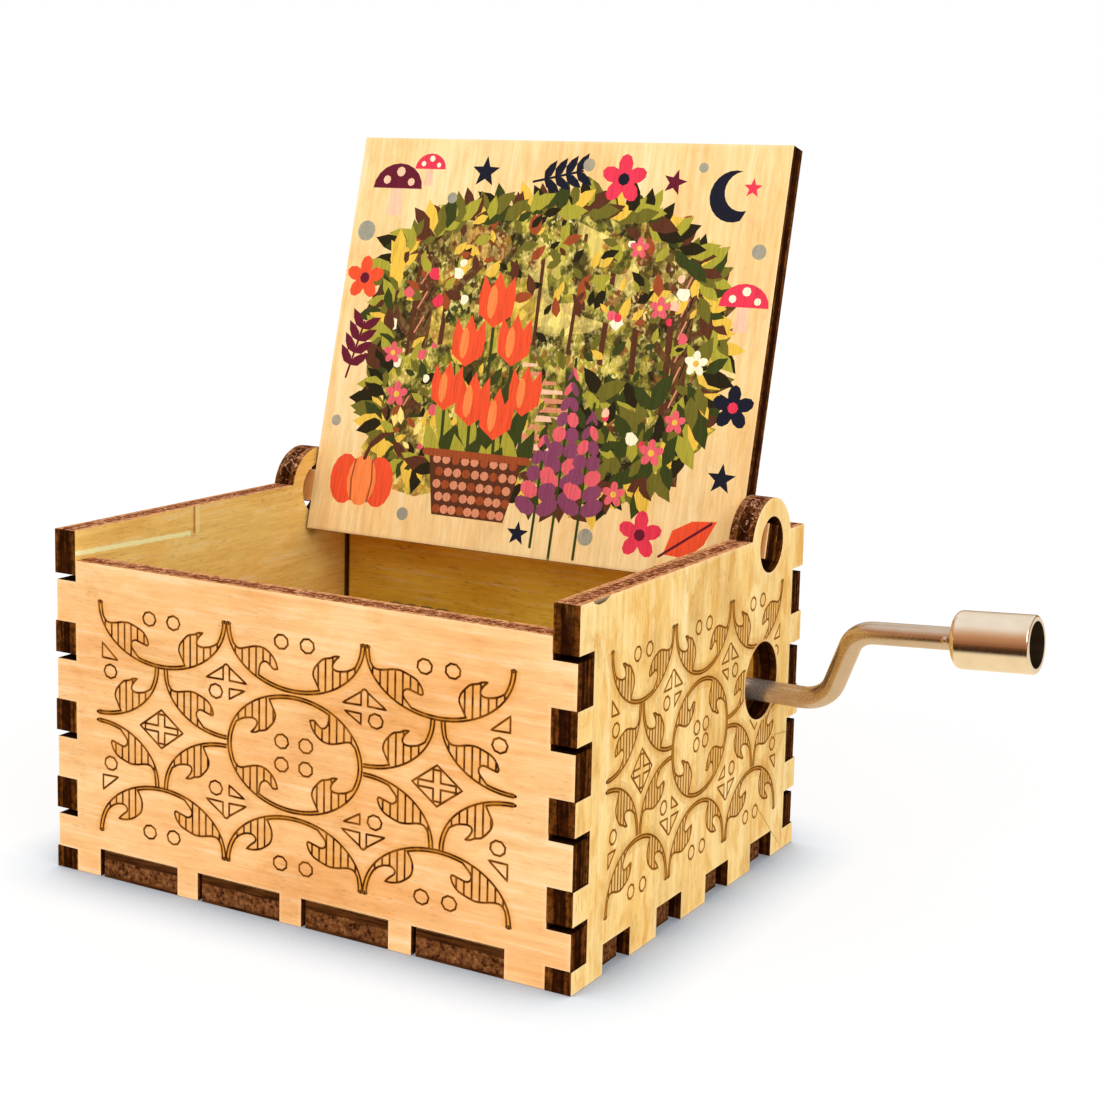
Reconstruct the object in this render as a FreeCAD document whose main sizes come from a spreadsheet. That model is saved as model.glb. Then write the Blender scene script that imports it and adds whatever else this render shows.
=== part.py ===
"""Hand-cranked wooden music box with an 18-note comb-and-cylinder movement.

Frame: millimetres, +Z up, +X to the crank side, +Y to the back.
The origin is the centre of the box's underside.
The lid stands open at its resting angle and the crank points up.
"""
import FreeCAD, Part
import math
import os
import re

from FreeCAD import Rotation, Vector

doc = FreeCAD.newDocument("MusicBox")

# ------------------------------------------------------------- driving sizes

SIZES = [
    # the plywood case
    ("box_width", 64.0, "outside, left to right"),
    ("box_depth", 52.0, "outside, front to back"),
    ("ply", 2.9, "nominal 3 mm plywood"),
    ("side_height", 37.2, "left, right and back panels"),
    ("front_height", 34.0, "front panel, lower by the lid's thickness"),
    ("finger_pitch", 8.6, "corner fingers, one to the next"),
    ("side_finger", 3.4, "height of a side panel's finger"),
    ("finger_gap", 0.7, "open gap under each side finger"),
    ("low_finger", 6.65, "underside of the lowest full side finger"),
    ("foot_finger", 2.3, "height of the side panel's bottom finger"),
    ("finger_setback", 0.25, "front and back fingers stop short of the side faces"),
    ("front_tab_setback", 0.1, "front and back floor tabs stop short of the outer faces"),
    ("front_tab_ease", 0.55, "gap to the left of a floor tab in its front or back slot"),
    ("side_tab_setback", 1.1, "left and right floor tabs stop short of the outer faces"),
    ("side_tab_ease", 0.8, "gap behind a floor tab in its side slot"),
    ("tab_slack", 0.1, "air above a floor tab in its slot"),
    ("front_slot", 10.6, "width of a floor tab's slot in the front"),
    ("front_slot_pitch", 13.3, "one front slot to the next"),
    ("front_slot_start", 6.1, "left face to the first front slot"),
    ("side_slot", 5.7, "width of a floor tab's slot in a side"),
    ("side_slot_pitch", 11.4, "one side slot to the next"),
    ("side_slot_start", 6.05, "front face to the first side slot"),
    # the ears that carry the lid, and the crank's hole
    ("ear_behind", 17.0, "ear centre behind the box's middle"),
    ("ear_up", 36.2, "ear centre above the underside"),
    ("ear_radius", 5.15, "rounded top of the ear"),
    ("ear_hole", 3.1, "radius of the lid tab's hole"),
    ("crank_hole", 4.3, "radius of the hole round the crank"),
    ("crank_hole_up", 21.3, "centre of that hole above the underside"),
    # the lid
    ("lid_ply", 2.6, "thickness of the lid"),
    ("lid_width", 57.6, "between the side panels"),
    ("lid_length", 49.2, "front edge to heel"),
    ("lid_heel", 5.3, "pivot to the edge behind it"),
    ("lid_tab", 3.9, "width of a pivot tab"),
    ("lid_span", 64.0, "end to end over both pivot tabs, flush with the side panels"),
    ("pivot_behind", 16.8, "lid pivot behind the box's middle"),
    ("pivot_up", 36.5, "lid pivot above the underside"),
    ("lid_angle", 104.0, "how far the lid stands open, in degrees"),
    # the screws that hold the movement to the floor
    ("sink_head", 2.4, "radius of the countersunk head at the face"),
    ("sink_depth", 1.4, "depth of that head"),
    ("floor_shank", 1.1, "radius of the shank"),
    ("floor_screw_length", 6.9, "head and shank"),
    ("screw_ease", 0.05, "hole in the floor over the screw"),
    ("cross_length", 2.4, "cross recess, end to end"),
    ("cross_width", 0.5, "arm of the cross recess"),
    ("cross_depth", 0.7, "depth of the cross recess"),
    # worm drive
    ("shaft_behind", 15.5, "crank shaft behind the box's middle"),
    ("shaft_up", 20.2, "crank shaft above the underside"),
    ("shaft_radius", 1.5, "drive shaft"),
    ("shaft_left", 25.2, "inner end of the shaft, left of the box's middle"),
    ("shaft_right", 27.0, "outer end of the shaft, right of the box's middle"),
    ("socket_radius", 1.0, "threaded socket for the crank's stud"),
    ("socket_depth", 6.0, "depth of that socket"),
    ("stud_length", 5.5, "the crank's stud"),
    ("stud_ease", 0.03, "the stud's radius is smaller than its socket's"),
    ("clip_left", 24.05, "outer face of the retaining clip, left of the middle"),
    ("clip_plate", 0.5, "thickness of the clip"),
    ("clip_radius", 2.9, "outside of the clip"),
    ("clip_eye", 1.1, "radius of the clip's eye and of the shaft in its groove"),
    ("clip_mouth", 1.9, "opening of the clip"),
    ("running", 0.05, "radial clearance of a running fit"),
    ("tooth_module", 0.7, "module of the worm and its wheel"),
    ("wheel_teeth", 16, "teeth of the worm wheel"),
    ("wheel_width", 3.0, "face width of the worm wheel"),
    ("worm_radius", 2.9, "pitch radius of the worm"),
    ("tooth_half", 0.42, "half the thickness of a tooth at the pitch line"),
    ("flank_angle", 20.0, "slope of a tooth's flank, in degrees"),
    ("addendum", 0.85, "tooth above the pitch line, in modules"),
    ("dedendum", 1.12, "tooth below the pitch line, in modules"),
    ("worm_turns", 4, "turns of the worm's thread"),
    ("worm_hub_left", 20.0, "end of the worm's plain hub, left of the box's middle"),
    ("worm_hub", 2.4, "radius of that hub"),
    # cylinder and comb
    ("drum_left", 13.5, "cylinder axis left of the box's middle"),
    ("drum_radius", 6.4, "outside of the cylinder"),
    ("drum_length", 20.8, "between its end caps"),
    ("drum_wall", 0.8, "wall of the cylinder"),
    ("cap_plug", 2.0, "depth of an end cap inside the cylinder"),
    ("cap_flange", 6.0, "radius of an end cap's flange"),
    ("cap_rim", 1.0, "thickness of that flange"),
    ("front_hub", 1.8, "radius of the front cap's hub"),
    ("front_hub_length", 0.5, "length of that hub"),
    ("wheel_hub", 3.2, "radius of the worm wheel's hub"),
    ("wheel_hub_end", 17.9, "end of that hub, behind the box's middle"),
    ("arbor_radius", 0.8, "pin that the cylinder turns on"),
    ("arbor_start", 14.9, "front end of that pin, ahead of the box's middle"),
    ("arbor_length", 36.0, "end to end"),
    ("arbor_ease", 0.01, "bore of the casting over the arbor"),
    ("pin_reach", 0.8, "tune pins above the cylinder"),
    ("pin_radius", 0.2, "tune pin"),
    ("notes", 18, "teeth of the comb"),
    ("note_pitch", 1.05, "one comb tooth to the next"),
    ("note_slit", 0.25, "slit between two comb teeth"),
    ("comb_plate", 0.9, "thickness of the comb"),
    ("comb_rest", 0.1, "comb tips clear of the passing pins"),
    ("weighted_notes", 8, "low notes whose teeth carry a lead weight"),
    ("weight_length", 6.5, "lead under the lowest tooth, along it"),
    ("weight_depth", 2.5, "lead under the lowest tooth, below it"),
    ("weight_inset", 1.0, "comb tip to the lead"),
    ("comb_end", 20.6, "heel of the comb, right of the box's middle"),
    ("bass_root", 11.6, "where the longest tooth begins"),
    ("treble_root", 4.6, "where the shortest tooth begins"),
    ("comb_screw_right", 16.8, "comb screws, right of the box's middle"),
    ("comb_screw_apart", 12.4, "one comb screw to the other"),
    ("comb_head", 2.3, "radius of a comb screw's head"),
    ("comb_head_depth", 1.4, "height of that head"),
    ("comb_shank", 1.2, "radius of a comb screw's shank"),
    ("comb_shank_below", 3.2, "shank below the comb"),
    ("comb_hole", 1.35, "radius of the comb's screw holes"),
    ("driver_slot", 0.6, "width of a comb screw's slot"),
    ("driver_depth", 0.7, "depth of that slot"),
    # base casting
    ("base_length", 50.0, "left to right"),
    ("base_front", 17.0, "front edge ahead of the box's middle"),
    ("base_back", 21.5, "back edge behind the box's middle"),
    ("base_plate", 1.4, "thickness of the casting's floor"),
    ("seat_left", 12.6, "comb seat, from here right of the box's middle"),
    ("seat_right", 21.0, "to here"),
    ("seat_span", 21.0, "comb seat, front to back"),
    ("seat_thick", 3.0, "bridge and legs of the comb seat"),
    ("upright_half", 3.6, "half the width of an arbor upright"),
    ("upright_thick", 2.6, "thickness of an arbor upright"),
    ("front_upright", 14.6, "front upright, ahead of the box's middle"),
    ("back_upright", 18.2, "back upright, behind the box's middle"),
    ("post_half", 2.7, "half the width of a shaft post"),
    ("post_thick", 3.2, "thickness of a shaft post"),
    ("left_post", 23.4, "left post's outer face, left of the box's middle"),
    ("right_post", 20.5, "right post's inner face, right of the box's middle"),
    ("boss_radius", 2.8, "screw boss"),
    ("boss_height", 3.0, "screw boss above the plate"),
    # crank
    ("rod_radius", 1.2, "bent crank rod"),
    ("crank_throw", 9.4, "grip axis off the shaft axis, at the second bend"),
    ("crank_bend_one", 39.7, "first bend's corner, right of the box's middle"),
    ("crank_bend_two", 43.9, "second bend's corner"),
    ("bend_radius_one", 4.3, "first bend"),
    ("bend_radius_two", 3.5, "second bend"),
    ("crank_lean", 20.0, "crank turned forward from straight up, in degrees"),
    ("grip_lift", 4.5, "grip opened out from the shaft's direction, in degrees"),
    ("grip_start", 54.9, "knob's inner end, right of the box's middle"),
    ("knob_radius", 3.0, "outside of the knob"),
    ("knob_length", 8.3, "end to end"),
    ("knob_wall", 0.6, "wall of the hollow knob"),
    ("knob_floor", 1.2, "thickness of the knob's inner end"),
    ("knob_play", 0.1, "end play of the knob on the rod"),
    ("knob_round", 0.7, "rounding of the knob's inner edge"),
    ("knob_rim_round", 0.25, "rounding of the knob's open edge"),
    ("rivet_radius", 1.75, "riveted end of the rod inside the knob"),
    ("rivet_depth", 0.8, "thickness of that end"),
    ("lug_radius", 0.45, "pinched lugs that stop the knob"),
]

sheet = doc.addObject("Spreadsheet::Sheet", "Sizes")
for row, (alias, value, note) in enumerate(SIZES, 1):
    sheet.set(f"A{row}", note)
    sheet.set(f"B{row}", str(value))
    sheet.setAlias(f"B{row}", alias)
doc.recompute()

ALIASES = {alias for alias, value, note in SIZES}


def size(alias):
    """A driving size as a plain number."""
    return float(sheet.get(alias))


def bind(thing, **formulas):
    """Bind properties to the sheet; a formula uses the aliases as they stand."""
    for path, text in formulas.items():
        full = re.sub(r"[a-z_]+", lambda m: f"Sizes.{m[0]}" if m[0] in ALIASES else m[0], str(text))
        thing.setExpression(path.replace("__", "."), full)
    return thing


# ---------------------------------------------------------- building blocks

TURN = {"z": Rotation(), "x": Rotation(Vector(0, 1, 0), 90), "y": Rotation(Vector(1, 0, 0), -90)}


def placed(thing, at):
    x, y, z = at
    return bind(thing, Placement__Base__x=x, Placement__Base__y=y, Placement__Base__z=z)


def block(name, extent, at):
    """A box from its lowest corner."""
    length, width, height = extent
    thing = doc.addObject("Part::Box", name)
    bind(thing, Length=length, Width=width, Height=height)
    return placed(thing, at)


def bar(name, radius, length, at, along="z"):
    """A cylinder that starts at a point and runs along an axis."""
    thing = doc.addObject("Part::Cylinder", name)
    bind(thing, Radius=radius, Height=length)
    thing.Placement.Rotation = TURN[along]
    return placed(thing, at)


def cone(name, low, high, length, at, along="z"):
    thing = doc.addObject("Part::Cone", name)
    bind(thing, Radius1=low, Radius2=high, Height=length)
    thing.Placement.Rotation = TURN[along]
    return placed(thing, at)


def joined(name, pieces):
    thing = doc.addObject("Part::MultiFuse", name)
    thing.Shapes = pieces
    return thing


def gathered(name, pieces):
    """Separate solids that share one node."""
    thing = doc.addObject("Part::Compound", name)
    thing.Links = pieces
    return thing


def without(name, base, tools):
    """The base with every tool cut out of it."""
    thing = doc.addObject("Part::Cut", name)
    thing.Base = base
    thing.Tool = tools[0] if len(tools) == 1 else joined(name + "_tools", tools)
    return thing


def shaped(name, shape):
    """A piece whose shape comes straight from Part's own functions."""
    thing = doc.addObject("Part::Feature", name)
    thing.Shape = shape
    return thing


NODES = []


def node(label, thing):
    """Name a finished piece; its label names its file."""
    thing.Label = label
    NODES.append(thing)
    return thing


# ------------------------------------------------------------- plywood case

FINGERS = range(4)
SLOTS = range(4)
OVER = "1"  # how far a cutter overshoots a face


def side_fingers(name, side):
    """Cutters that leave a side panel's corner fingers at the front and the back."""
    cutters = []
    for k in FINGERS:
        low = "foot_finger" if k == 0 else f"low_finger + side_finger + {k - 1} * finger_pitch"
        top = f"low_finger + {k} * finger_pitch"
        for end, y in (("front", f"-box_depth / 2 - {OVER}"), ("back", "box_depth / 2 - ply")):
            extent = (f"ply + 2 * {OVER}", f"ply + {OVER}", f"{top} - ({low})")
            cutters.append(block(f"{name}_{end}_{k}", extent, (f"{side} - {OVER}", y, low)))
    return cutters


def side_panel(label, sign):
    """Left (-1) or right (+1) panel, with its ear, the ear's hole and the floor slots."""
    inner = "box_width / 2 - ply" if sign > 0 else "-box_width / 2"
    flat = block(label + "_blank", ("ply", "box_depth", "side_height"), (inner, "-box_depth / 2", "0"))
    ear = bar(label + "_ear", "ear_radius", "ply", (inner, "ear_behind", "ear_up"), "x")
    blank = joined(label + "_eared", [flat, ear])
    cutters = side_fingers(label + "_finger", inner)
    long = f"ply + 2 * {OVER}"
    start = f"{inner} - {OVER}"
    cutters.append(bar(label + "_ear_hole", "ear_hole", long, (start, "ear_behind", "ear_up"), "x"))
    for k in SLOTS:
        y = f"-box_depth / 2 + side_slot_start + {k} * side_slot_pitch"
        extent = (long, "side_slot", f"ply + tab_slack + {OVER}")
        cutters.append(block(f"{label}_slot_{k}", extent, (start, y, f"-{OVER}")))
    if sign > 0:
        at = (start, "shaft_behind", "crank_hole_up")
        cutters.append(bar(label + "_crank_hole", "crank_hole", long, at, "x"))
    return node(label, without(label + "_panel", blank, cutters))


def end_panel(label, y, height):
    """Front or back panel; its fingers fill the side panels' notches from below."""
    reach = "box_width - 2 * finger_setback"
    blank = block(label + "_blank", (reach, "ply", height), ("finger_setback - box_width / 2", y, "0"))
    # room for the side panels' fingers and the gaps under them; the highest runs out at the top
    lows = ["0"] + [f"low_finger - finger_gap + {k} * finger_pitch" for k in FINGERS]
    tops = ["foot_finger"] + [f"low_finger + side_finger + {k} * finger_pitch" for k in FINGERS]
    tops[-1] = f"side_height + {OVER}"
    cutters = []
    for k, (low, top) in enumerate(zip(lows, tops)):
        for hand, x in (("left", f"-box_width / 2 - {OVER}"), ("right", "box_width / 2 - ply")):
            extent = (f"ply + {OVER}", f"ply + 2 * {OVER}", f"{top} - ({low})")
            cutters.append(block(f"{label}_{hand}_{k}", extent, (x, f"{y} - {OVER}", low)))
    for k in SLOTS:
        x = f"-box_width / 2 + front_slot_start + {k} * front_slot_pitch"
        extent = ("front_slot", f"ply + 2 * {OVER}", f"ply + tab_slack + {OVER}")
        cutters.append(block(f"{label}_slot_{k}", extent, (x, f"{y} - {OVER}", f"-{OVER}")))
    return node(label, without(label + "_panel", blank, cutters))


# places of the three countersunk screws that hold the movement to the floor
SCREW_SPOTS = [("-21.5", "-13.5"), ("21.5", "-13.5"), ("3", "17.3")]


def floor_panel():
    inside = ("box_width - 2 * ply", "box_depth - 2 * ply", "ply")
    pieces = [block("floor_middle", inside, ("ply - box_width / 2", "ply - box_depth / 2", "0"))]
    for k in SLOTS:
        x = f"-box_width / 2 + front_slot_start + {k} * front_slot_pitch + front_tab_ease"
        y = "front_tab_setback - box_depth / 2"
        extent = ("front_slot - front_tab_ease", "box_depth - 2 * front_tab_setback", "ply")
        pieces.append(block(f"floor_tab_y_{k}", extent, (x, y, "0")))
        x = "side_tab_setback - box_width / 2"
        y = f"-box_depth / 2 + side_slot_start + {k} * side_slot_pitch"
        extent = ("box_width - 2 * side_tab_setback", "side_slot - side_tab_ease", "ply")
        pieces.append(block(f"floor_tab_x_{k}", extent, (x, y, "0")))
    cutters = []
    for k, (x, y) in enumerate(SCREW_SPOTS):
        wide = "sink_head + screw_ease"
        narrow = "floor_shank + screw_ease"
        cutters.append(bar(f"floor_hole_{k}", narrow, f"ply + 2 * {OVER}", (x, y, f"-{OVER}")))
        cutters.append(cone(f"floor_sink_{k}", wide, narrow, "sink_depth", (x, y, "0")))
    return node("bottom_board", without("bottom_board_panel", joined("floor_blank", pieces), cutters))


def lid_panel():
    """The lid is drawn closed about its pivot, then turned open."""
    half = "lid_ply / 2"
    plate = block("lid_plate", ("lid_width", "lid_length", "lid_ply"),
                  ("-lid_width / 2", "lid_heel - lid_length", f"-{half}"))
    tabs = block("lid_tabs", ("lid_span", "lid_tab", "lid_ply"),
                 ("-lid_span / 2", "-lid_tab / 2", f"-{half}"))
    panel = joined("lid_panel", [plate, tabs])
    panel.Placement.Rotation = Rotation(Vector(-1, 0, 0), size("lid_angle"))
    placed(panel, ("0", "pivot_behind", "pivot_up"))
    return node("lid", panel)


end_panel("front_wall", "-box_depth / 2", "front_height")
end_panel("back_wall", "box_depth / 2 - ply", "side_height")
side_panel("left_wall", -1)
side_panel("right_wall", 1)
floor_panel()
lid_panel()

# ------------------------------------------------------------- base casting

DRUM_UP = "shaft_up - worm_radius - tooth_module * wheel_teeth / 2"  # cylinder axis height
DRUM_X = "-drum_left"
COMB_LOW = f"{DRUM_UP} - comb_plate / 2"
UPRIGHTS = {"front": "-front_upright", "back": "back_upright"}
POSTS = {"left": "-left_post", "right": "right_post"}
COMB_SCREWS = ("-comb_screw_apart / 2", "comb_screw_apart / 2")


def comb_seat(top):
    """A bridge on two legs, open underneath."""
    long = "seat_right - seat_left"
    pieces = [block("seat_bridge", (long, "seat_span", "seat_thick"),
                    ("seat_left", "-seat_span / 2", f"{COMB_LOW} - seat_thick"))]
    for k, y in enumerate(("-seat_span / 2", "seat_span / 2 - seat_thick")):
        extent = (long, "seat_thick", f"{COMB_LOW} - ({top})")
        pieces.append(block(f"seat_leg_{k}", extent, ("seat_left", y, top)))
    return pieces


def arbor_upright(name, y, top):
    """Round-headed plate that holds one end of the cylinder's arbor."""
    extent = ("2 * upright_half", "upright_thick", f"{DRUM_UP} - ({top})")
    return [
        block(name, extent, (f"{DRUM_X} - upright_half", y, top)),
        bar(name + "_head", "upright_half", "upright_thick", (DRUM_X, y, DRUM_UP), "y"),
    ]


def shaft_post(name, x, top):
    """Round-headed post that carries one end of the crank's shaft."""
    extent = ("post_thick", "2 * post_half", f"shaft_up - ({top})")
    return [
        block(name, extent, (x, "shaft_behind - post_half", top)),
        bar(name + "_head", "post_half", "post_thick", (x, "shaft_behind", "shaft_up"), "x"),
    ]


def base_casting():
    top = "ply + base_plate"
    pieces = [block("casting_floor", ("base_length", "base_front + base_back", "base_plate"),
                    ("-base_length / 2", "-base_front", "ply"))]
    pieces += comb_seat(top)
    for name, y in UPRIGHTS.items():
        pieces += arbor_upright(f"upright_{name}", y, top)
    for name, x in POSTS.items():
        pieces += shaft_post(f"post_{name}", x, top)
    for k, (x, y) in enumerate(SCREW_SPOTS):
        pieces.append(bar(f"boss_{k}", "boss_radius", "boss_height", (x, y, top)))
    cutters = [
        bar("arbor_bore", "arbor_radius + arbor_ease", f"arbor_length + 2 * {OVER}",
            (DRUM_X, f"-arbor_start - {OVER}", DRUM_UP), "y"),
        bar("shaft_bore", "shaft_radius + running", f"base_length + 2 * {OVER}",
            (f"-base_length / 2 - {OVER}", "shaft_behind", "shaft_up"), "x"),
    ]
    for k, (x, y) in enumerate(SCREW_SPOTS):
        cutters.append(bar(f"boss_bore_{k}", "floor_shank", "base_plate + boss_height", (x, y, "ply")))
    for k, y in enumerate(COMB_SCREWS):
        at = ("comb_screw_right", y, f"{COMB_LOW} - seat_thick - {OVER}")
        cutters.append(bar(f"seat_bore_{k}", "comb_shank", f"seat_thick + 2 * {OVER}", at))
    return node("movement_base", without("base_casting", joined("base_blank", pieces), cutters))


def floor_screws():
    screws = []
    for k, (x, y) in enumerate(SCREW_SPOTS):
        name = f"floor_screw_{k}"
        body = joined(name + "_body", [
            cone(name + "_head", "sink_head", "floor_shank", "sink_depth", (x, y, "0")),
            bar(name + "_shank", "floor_shank", "floor_screw_length - sink_depth", (x, y, "sink_depth")),
        ])
        cross = []
        for along, across in (("cross_length", "cross_width"), ("cross_width", "cross_length")):
            at = (f"{x} - {along} / 2", f"{y} - {across} / 2", "0")
            cross.append(block(f"{name}_{along}", (along, across, "cross_depth"), at))
        screws.append(without(name, body, cross))
    return node("base_screws", gathered("floor_screw_set", screws))


base_casting()
floor_screws()

# ---------------------------------------------------------------------- comb

TIP_X = f"{DRUM_X} + drum_radius + pin_reach + comb_rest"
NOTES = int(size("notes"))
TOOTH = "note_pitch - note_slit"


def note_y(k):
    """Middle of tooth k; the lowest note is at the front."""
    return f"({k} - (notes - 1) / 2) * note_pitch"


def comb_steel():
    span = "notes * note_pitch - note_slit"
    blank = block("comb_blank", (f"comb_end - ({TIP_X})", span, "comb_plate"),
                  (TIP_X, f"-({span}) / 2", COMB_LOW))
    cutters = []
    for k in range(NOTES - 1):
        root = f"bass_root + (treble_root - bass_root) * {k} / (notes - 2)"
        extent = (f"{root} + {OVER} - ({TIP_X})", "note_slit", f"comb_plate + 2 * {OVER}")
        at = (f"{TIP_X} - {OVER}", f"{note_y(k)} + ({TOOTH}) / 2", f"{COMB_LOW} - {OVER}")
        cutters.append(block(f"comb_slit_{k}", extent, at))
    for k, y in enumerate(COMB_SCREWS):
        at = ("comb_screw_right", y, f"{COMB_LOW} - {OVER}")
        cutters.append(bar(f"comb_eye_{k}", "comb_hole", f"comb_plate + 2 * {OVER}", at))
    return node("comb", without("comb_ground", blank, cutters))


def comb_weights():
    """Lead soldered under the lowest teeth, less for each higher note."""
    weights = []
    for k in range(int(size("weighted_notes"))):
        share = f"(1 - {k} / weighted_notes)"
        long = f"weight_length * {share}"
        deep = f"weight_depth * {share}"
        at = (f"{TIP_X} + weight_inset", f"{note_y(k)} - ({TOOTH}) / 2", f"{COMB_LOW} - {deep}")
        weights.append(block(f"weight_{k}", (long, TOOTH, deep), at))
    return node("comb_weights", gathered("comb_weight_set", weights))


def comb_screws():
    screws = []
    top = f"{COMB_LOW} + comb_plate"
    for k, y in enumerate(COMB_SCREWS):
        name = f"comb_screw_{k}"
        body = joined(name + "_body", [
            bar(name + "_head", "comb_head", "comb_head_depth", ("comb_screw_right", y, top)),
            bar(name + "_shank", "comb_shank", "comb_plate + comb_shank_below",
                ("comb_screw_right", y, f"{COMB_LOW} - comb_shank_below")),
        ])
        at = (f"comb_screw_right - comb_head - {OVER}", f"{y} - driver_slot / 2",
              f"{top} + comb_head_depth - driver_depth")
        extent = (f"2 * comb_head + 2 * {OVER}", "driver_slot", f"driver_depth + {OVER}")
        screws.append(without(name, body, [block(name + "_slot", extent, at)]))
    return node("comb_screws", gathered("comb_screw_set", screws))


comb_steel()
comb_weights()
comb_screws()

# ------------------------------------------------------- cylinder and its pins

WHEEL_PITCH_RADIUS = size("tooth_module") * size("wheel_teeth") / 2
DRUM_CENTRE = Vector(-size("drum_left"), 0, size("shaft_up") - size("worm_radius") - WHEEL_PITCH_RADIUS)
DRUM_END = "drum_length / 2"
PLUG_RADIUS = "drum_radius - drum_wall"
CAP_BORE = "arbor_radius + running"


def on_drum_axis(name, radius, length, y):
    return bar(name, radius, length, (DRUM_X, y, DRUM_UP), "y")


def drum():
    outside = on_drum_axis("drum_outside", "drum_radius", "drum_length", f"-{DRUM_END}")
    inside = on_drum_axis("drum_inside", PLUG_RADIUS, f"drum_length + 2 * {OVER}", f"-{DRUM_END} - {OVER}")
    return node("cylinder_drum", without("drum_tube", outside, [inside]))


def front_cap():
    rim_y = f"-{DRUM_END} - cap_rim"
    body = joined("front_cap_body", [
        on_drum_axis("front_cap_plug", PLUG_RADIUS, "cap_plug", f"-{DRUM_END}"),
        on_drum_axis("front_cap_flange", "cap_flange", "cap_rim", rim_y),
        on_drum_axis("front_cap_hub", "front_hub", "front_hub_length", f"{rim_y} - front_hub_length"),
    ])
    bore = on_drum_axis("front_cap_bore", CAP_BORE, "arbor_length", "-arbor_start")
    return node("front_cap", without("front_cap_turned", body, [bore]))


def arbor():
    return node("arbor", on_drum_axis("arbor_pin", "arbor_radius", "arbor_length", "-arbor_start"))


PIN_STEPS = 48  # places round the cylinder where a pin may stand
PIN_RULE = 13  # about one place in thirteen holds one


def tune_pins():
    """Short steel pins in eighteen rings; their places follow a fixed rule, like a tune."""
    pins = []
    for k in range(NOTES):
        y = (k - (NOTES - 1) / 2) * size("note_pitch")
        for step in range(PIN_STEPS):
            if (5 * step + 7 * k * k + 3 * step * k) % PIN_RULE != 0:
                continue
            angle = math.radians(360 * (step + 0.5) / PIN_STEPS)
            out = Vector(math.cos(angle), 0, math.sin(angle))
            foot = DRUM_CENTRE + Vector(0, y, 0) + out * size("drum_radius")
            pins.append(Part.makeCylinder(size("pin_radius"), size("pin_reach"), foot, out))
    return node("tune_pins", shaped("tune_pin_set", Part.makeCompound(pins)))


drum()
front_cap()
arbor()
tune_pins()

# ---------------------------------------------------------------- worm drive

HAND = -1  # the worm is left-handed, so a clockwise crank lifts the comb's teeth
MODULE = size("tooth_module")
FLANK = math.tan(math.radians(size("flank_angle")))
ADDENDUM = MODULE * size("addendum")
DEDENDUM = MODULE * size("dedendum")


def tooth_half(above):
    """Half the thickness of a straight-flanked tooth at a height above its pitch line."""
    return size("tooth_half") - above * FLANK


def wheel_outline(y, turn):
    """Closed outline of the wheel's teeth at one place along its axis."""
    teeth = int(size("wheel_teeth"))
    corners = [(-DEDENDUM, -1), (ADDENDUM, -1), (ADDENDUM, 1), (-DEDENDUM, 1)]
    points = []
    for k in range(teeth):
        middle = math.pi / 2 + 2 * math.pi * (k + 0.5) / teeth + turn
        for above, side in corners:
            radius = WHEEL_PITCH_RADIUS + above
            angle = middle + side * tooth_half(above) / radius
            points.append(Vector(radius * math.cos(angle), y, radius * math.sin(angle)))
    return Part.makePolygon(points + points[:1])


def worm_wheel():
    """Helical wheel, its outline turned a little from one face to the other, moulded on an end cap."""
    lead_angle = math.atan(MODULE / (2 * size("worm_radius")))
    sections = []
    for share in (-0.5, 0.5):
        offset = share * size("wheel_width")
        turn = -HAND * offset * math.tan(lead_angle) / WHEEL_PITCH_RADIUS
        sections.append(wheel_outline(size("shaft_behind") + offset, turn))
    rim = Part.makeLoft(sections, True, True)
    rim.translate(DRUM_CENTRE)
    body = joined("worm_wheel_body", [
        shaped("wheel_rim", rim),
        on_drum_axis("wheel_plug", PLUG_RADIUS, "cap_plug", f"{DRUM_END} - cap_plug"),
        on_drum_axis("wheel_flange", "cap_flange", "cap_rim", DRUM_END),
        on_drum_axis("wheel_hub", "wheel_hub", f"wheel_hub_end - {DRUM_END}", DRUM_END),
    ])
    bore = on_drum_axis("wheel_bore", CAP_BORE, "arbor_length", "-arbor_start")
    return node("worm_wheel", without("worm_wheel_moulded", body, [bore]))


def on_shaft(name, radius, length, x):
    return bar(name, radius, length, (x, "shaft_behind", "shaft_up"), "x")


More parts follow.
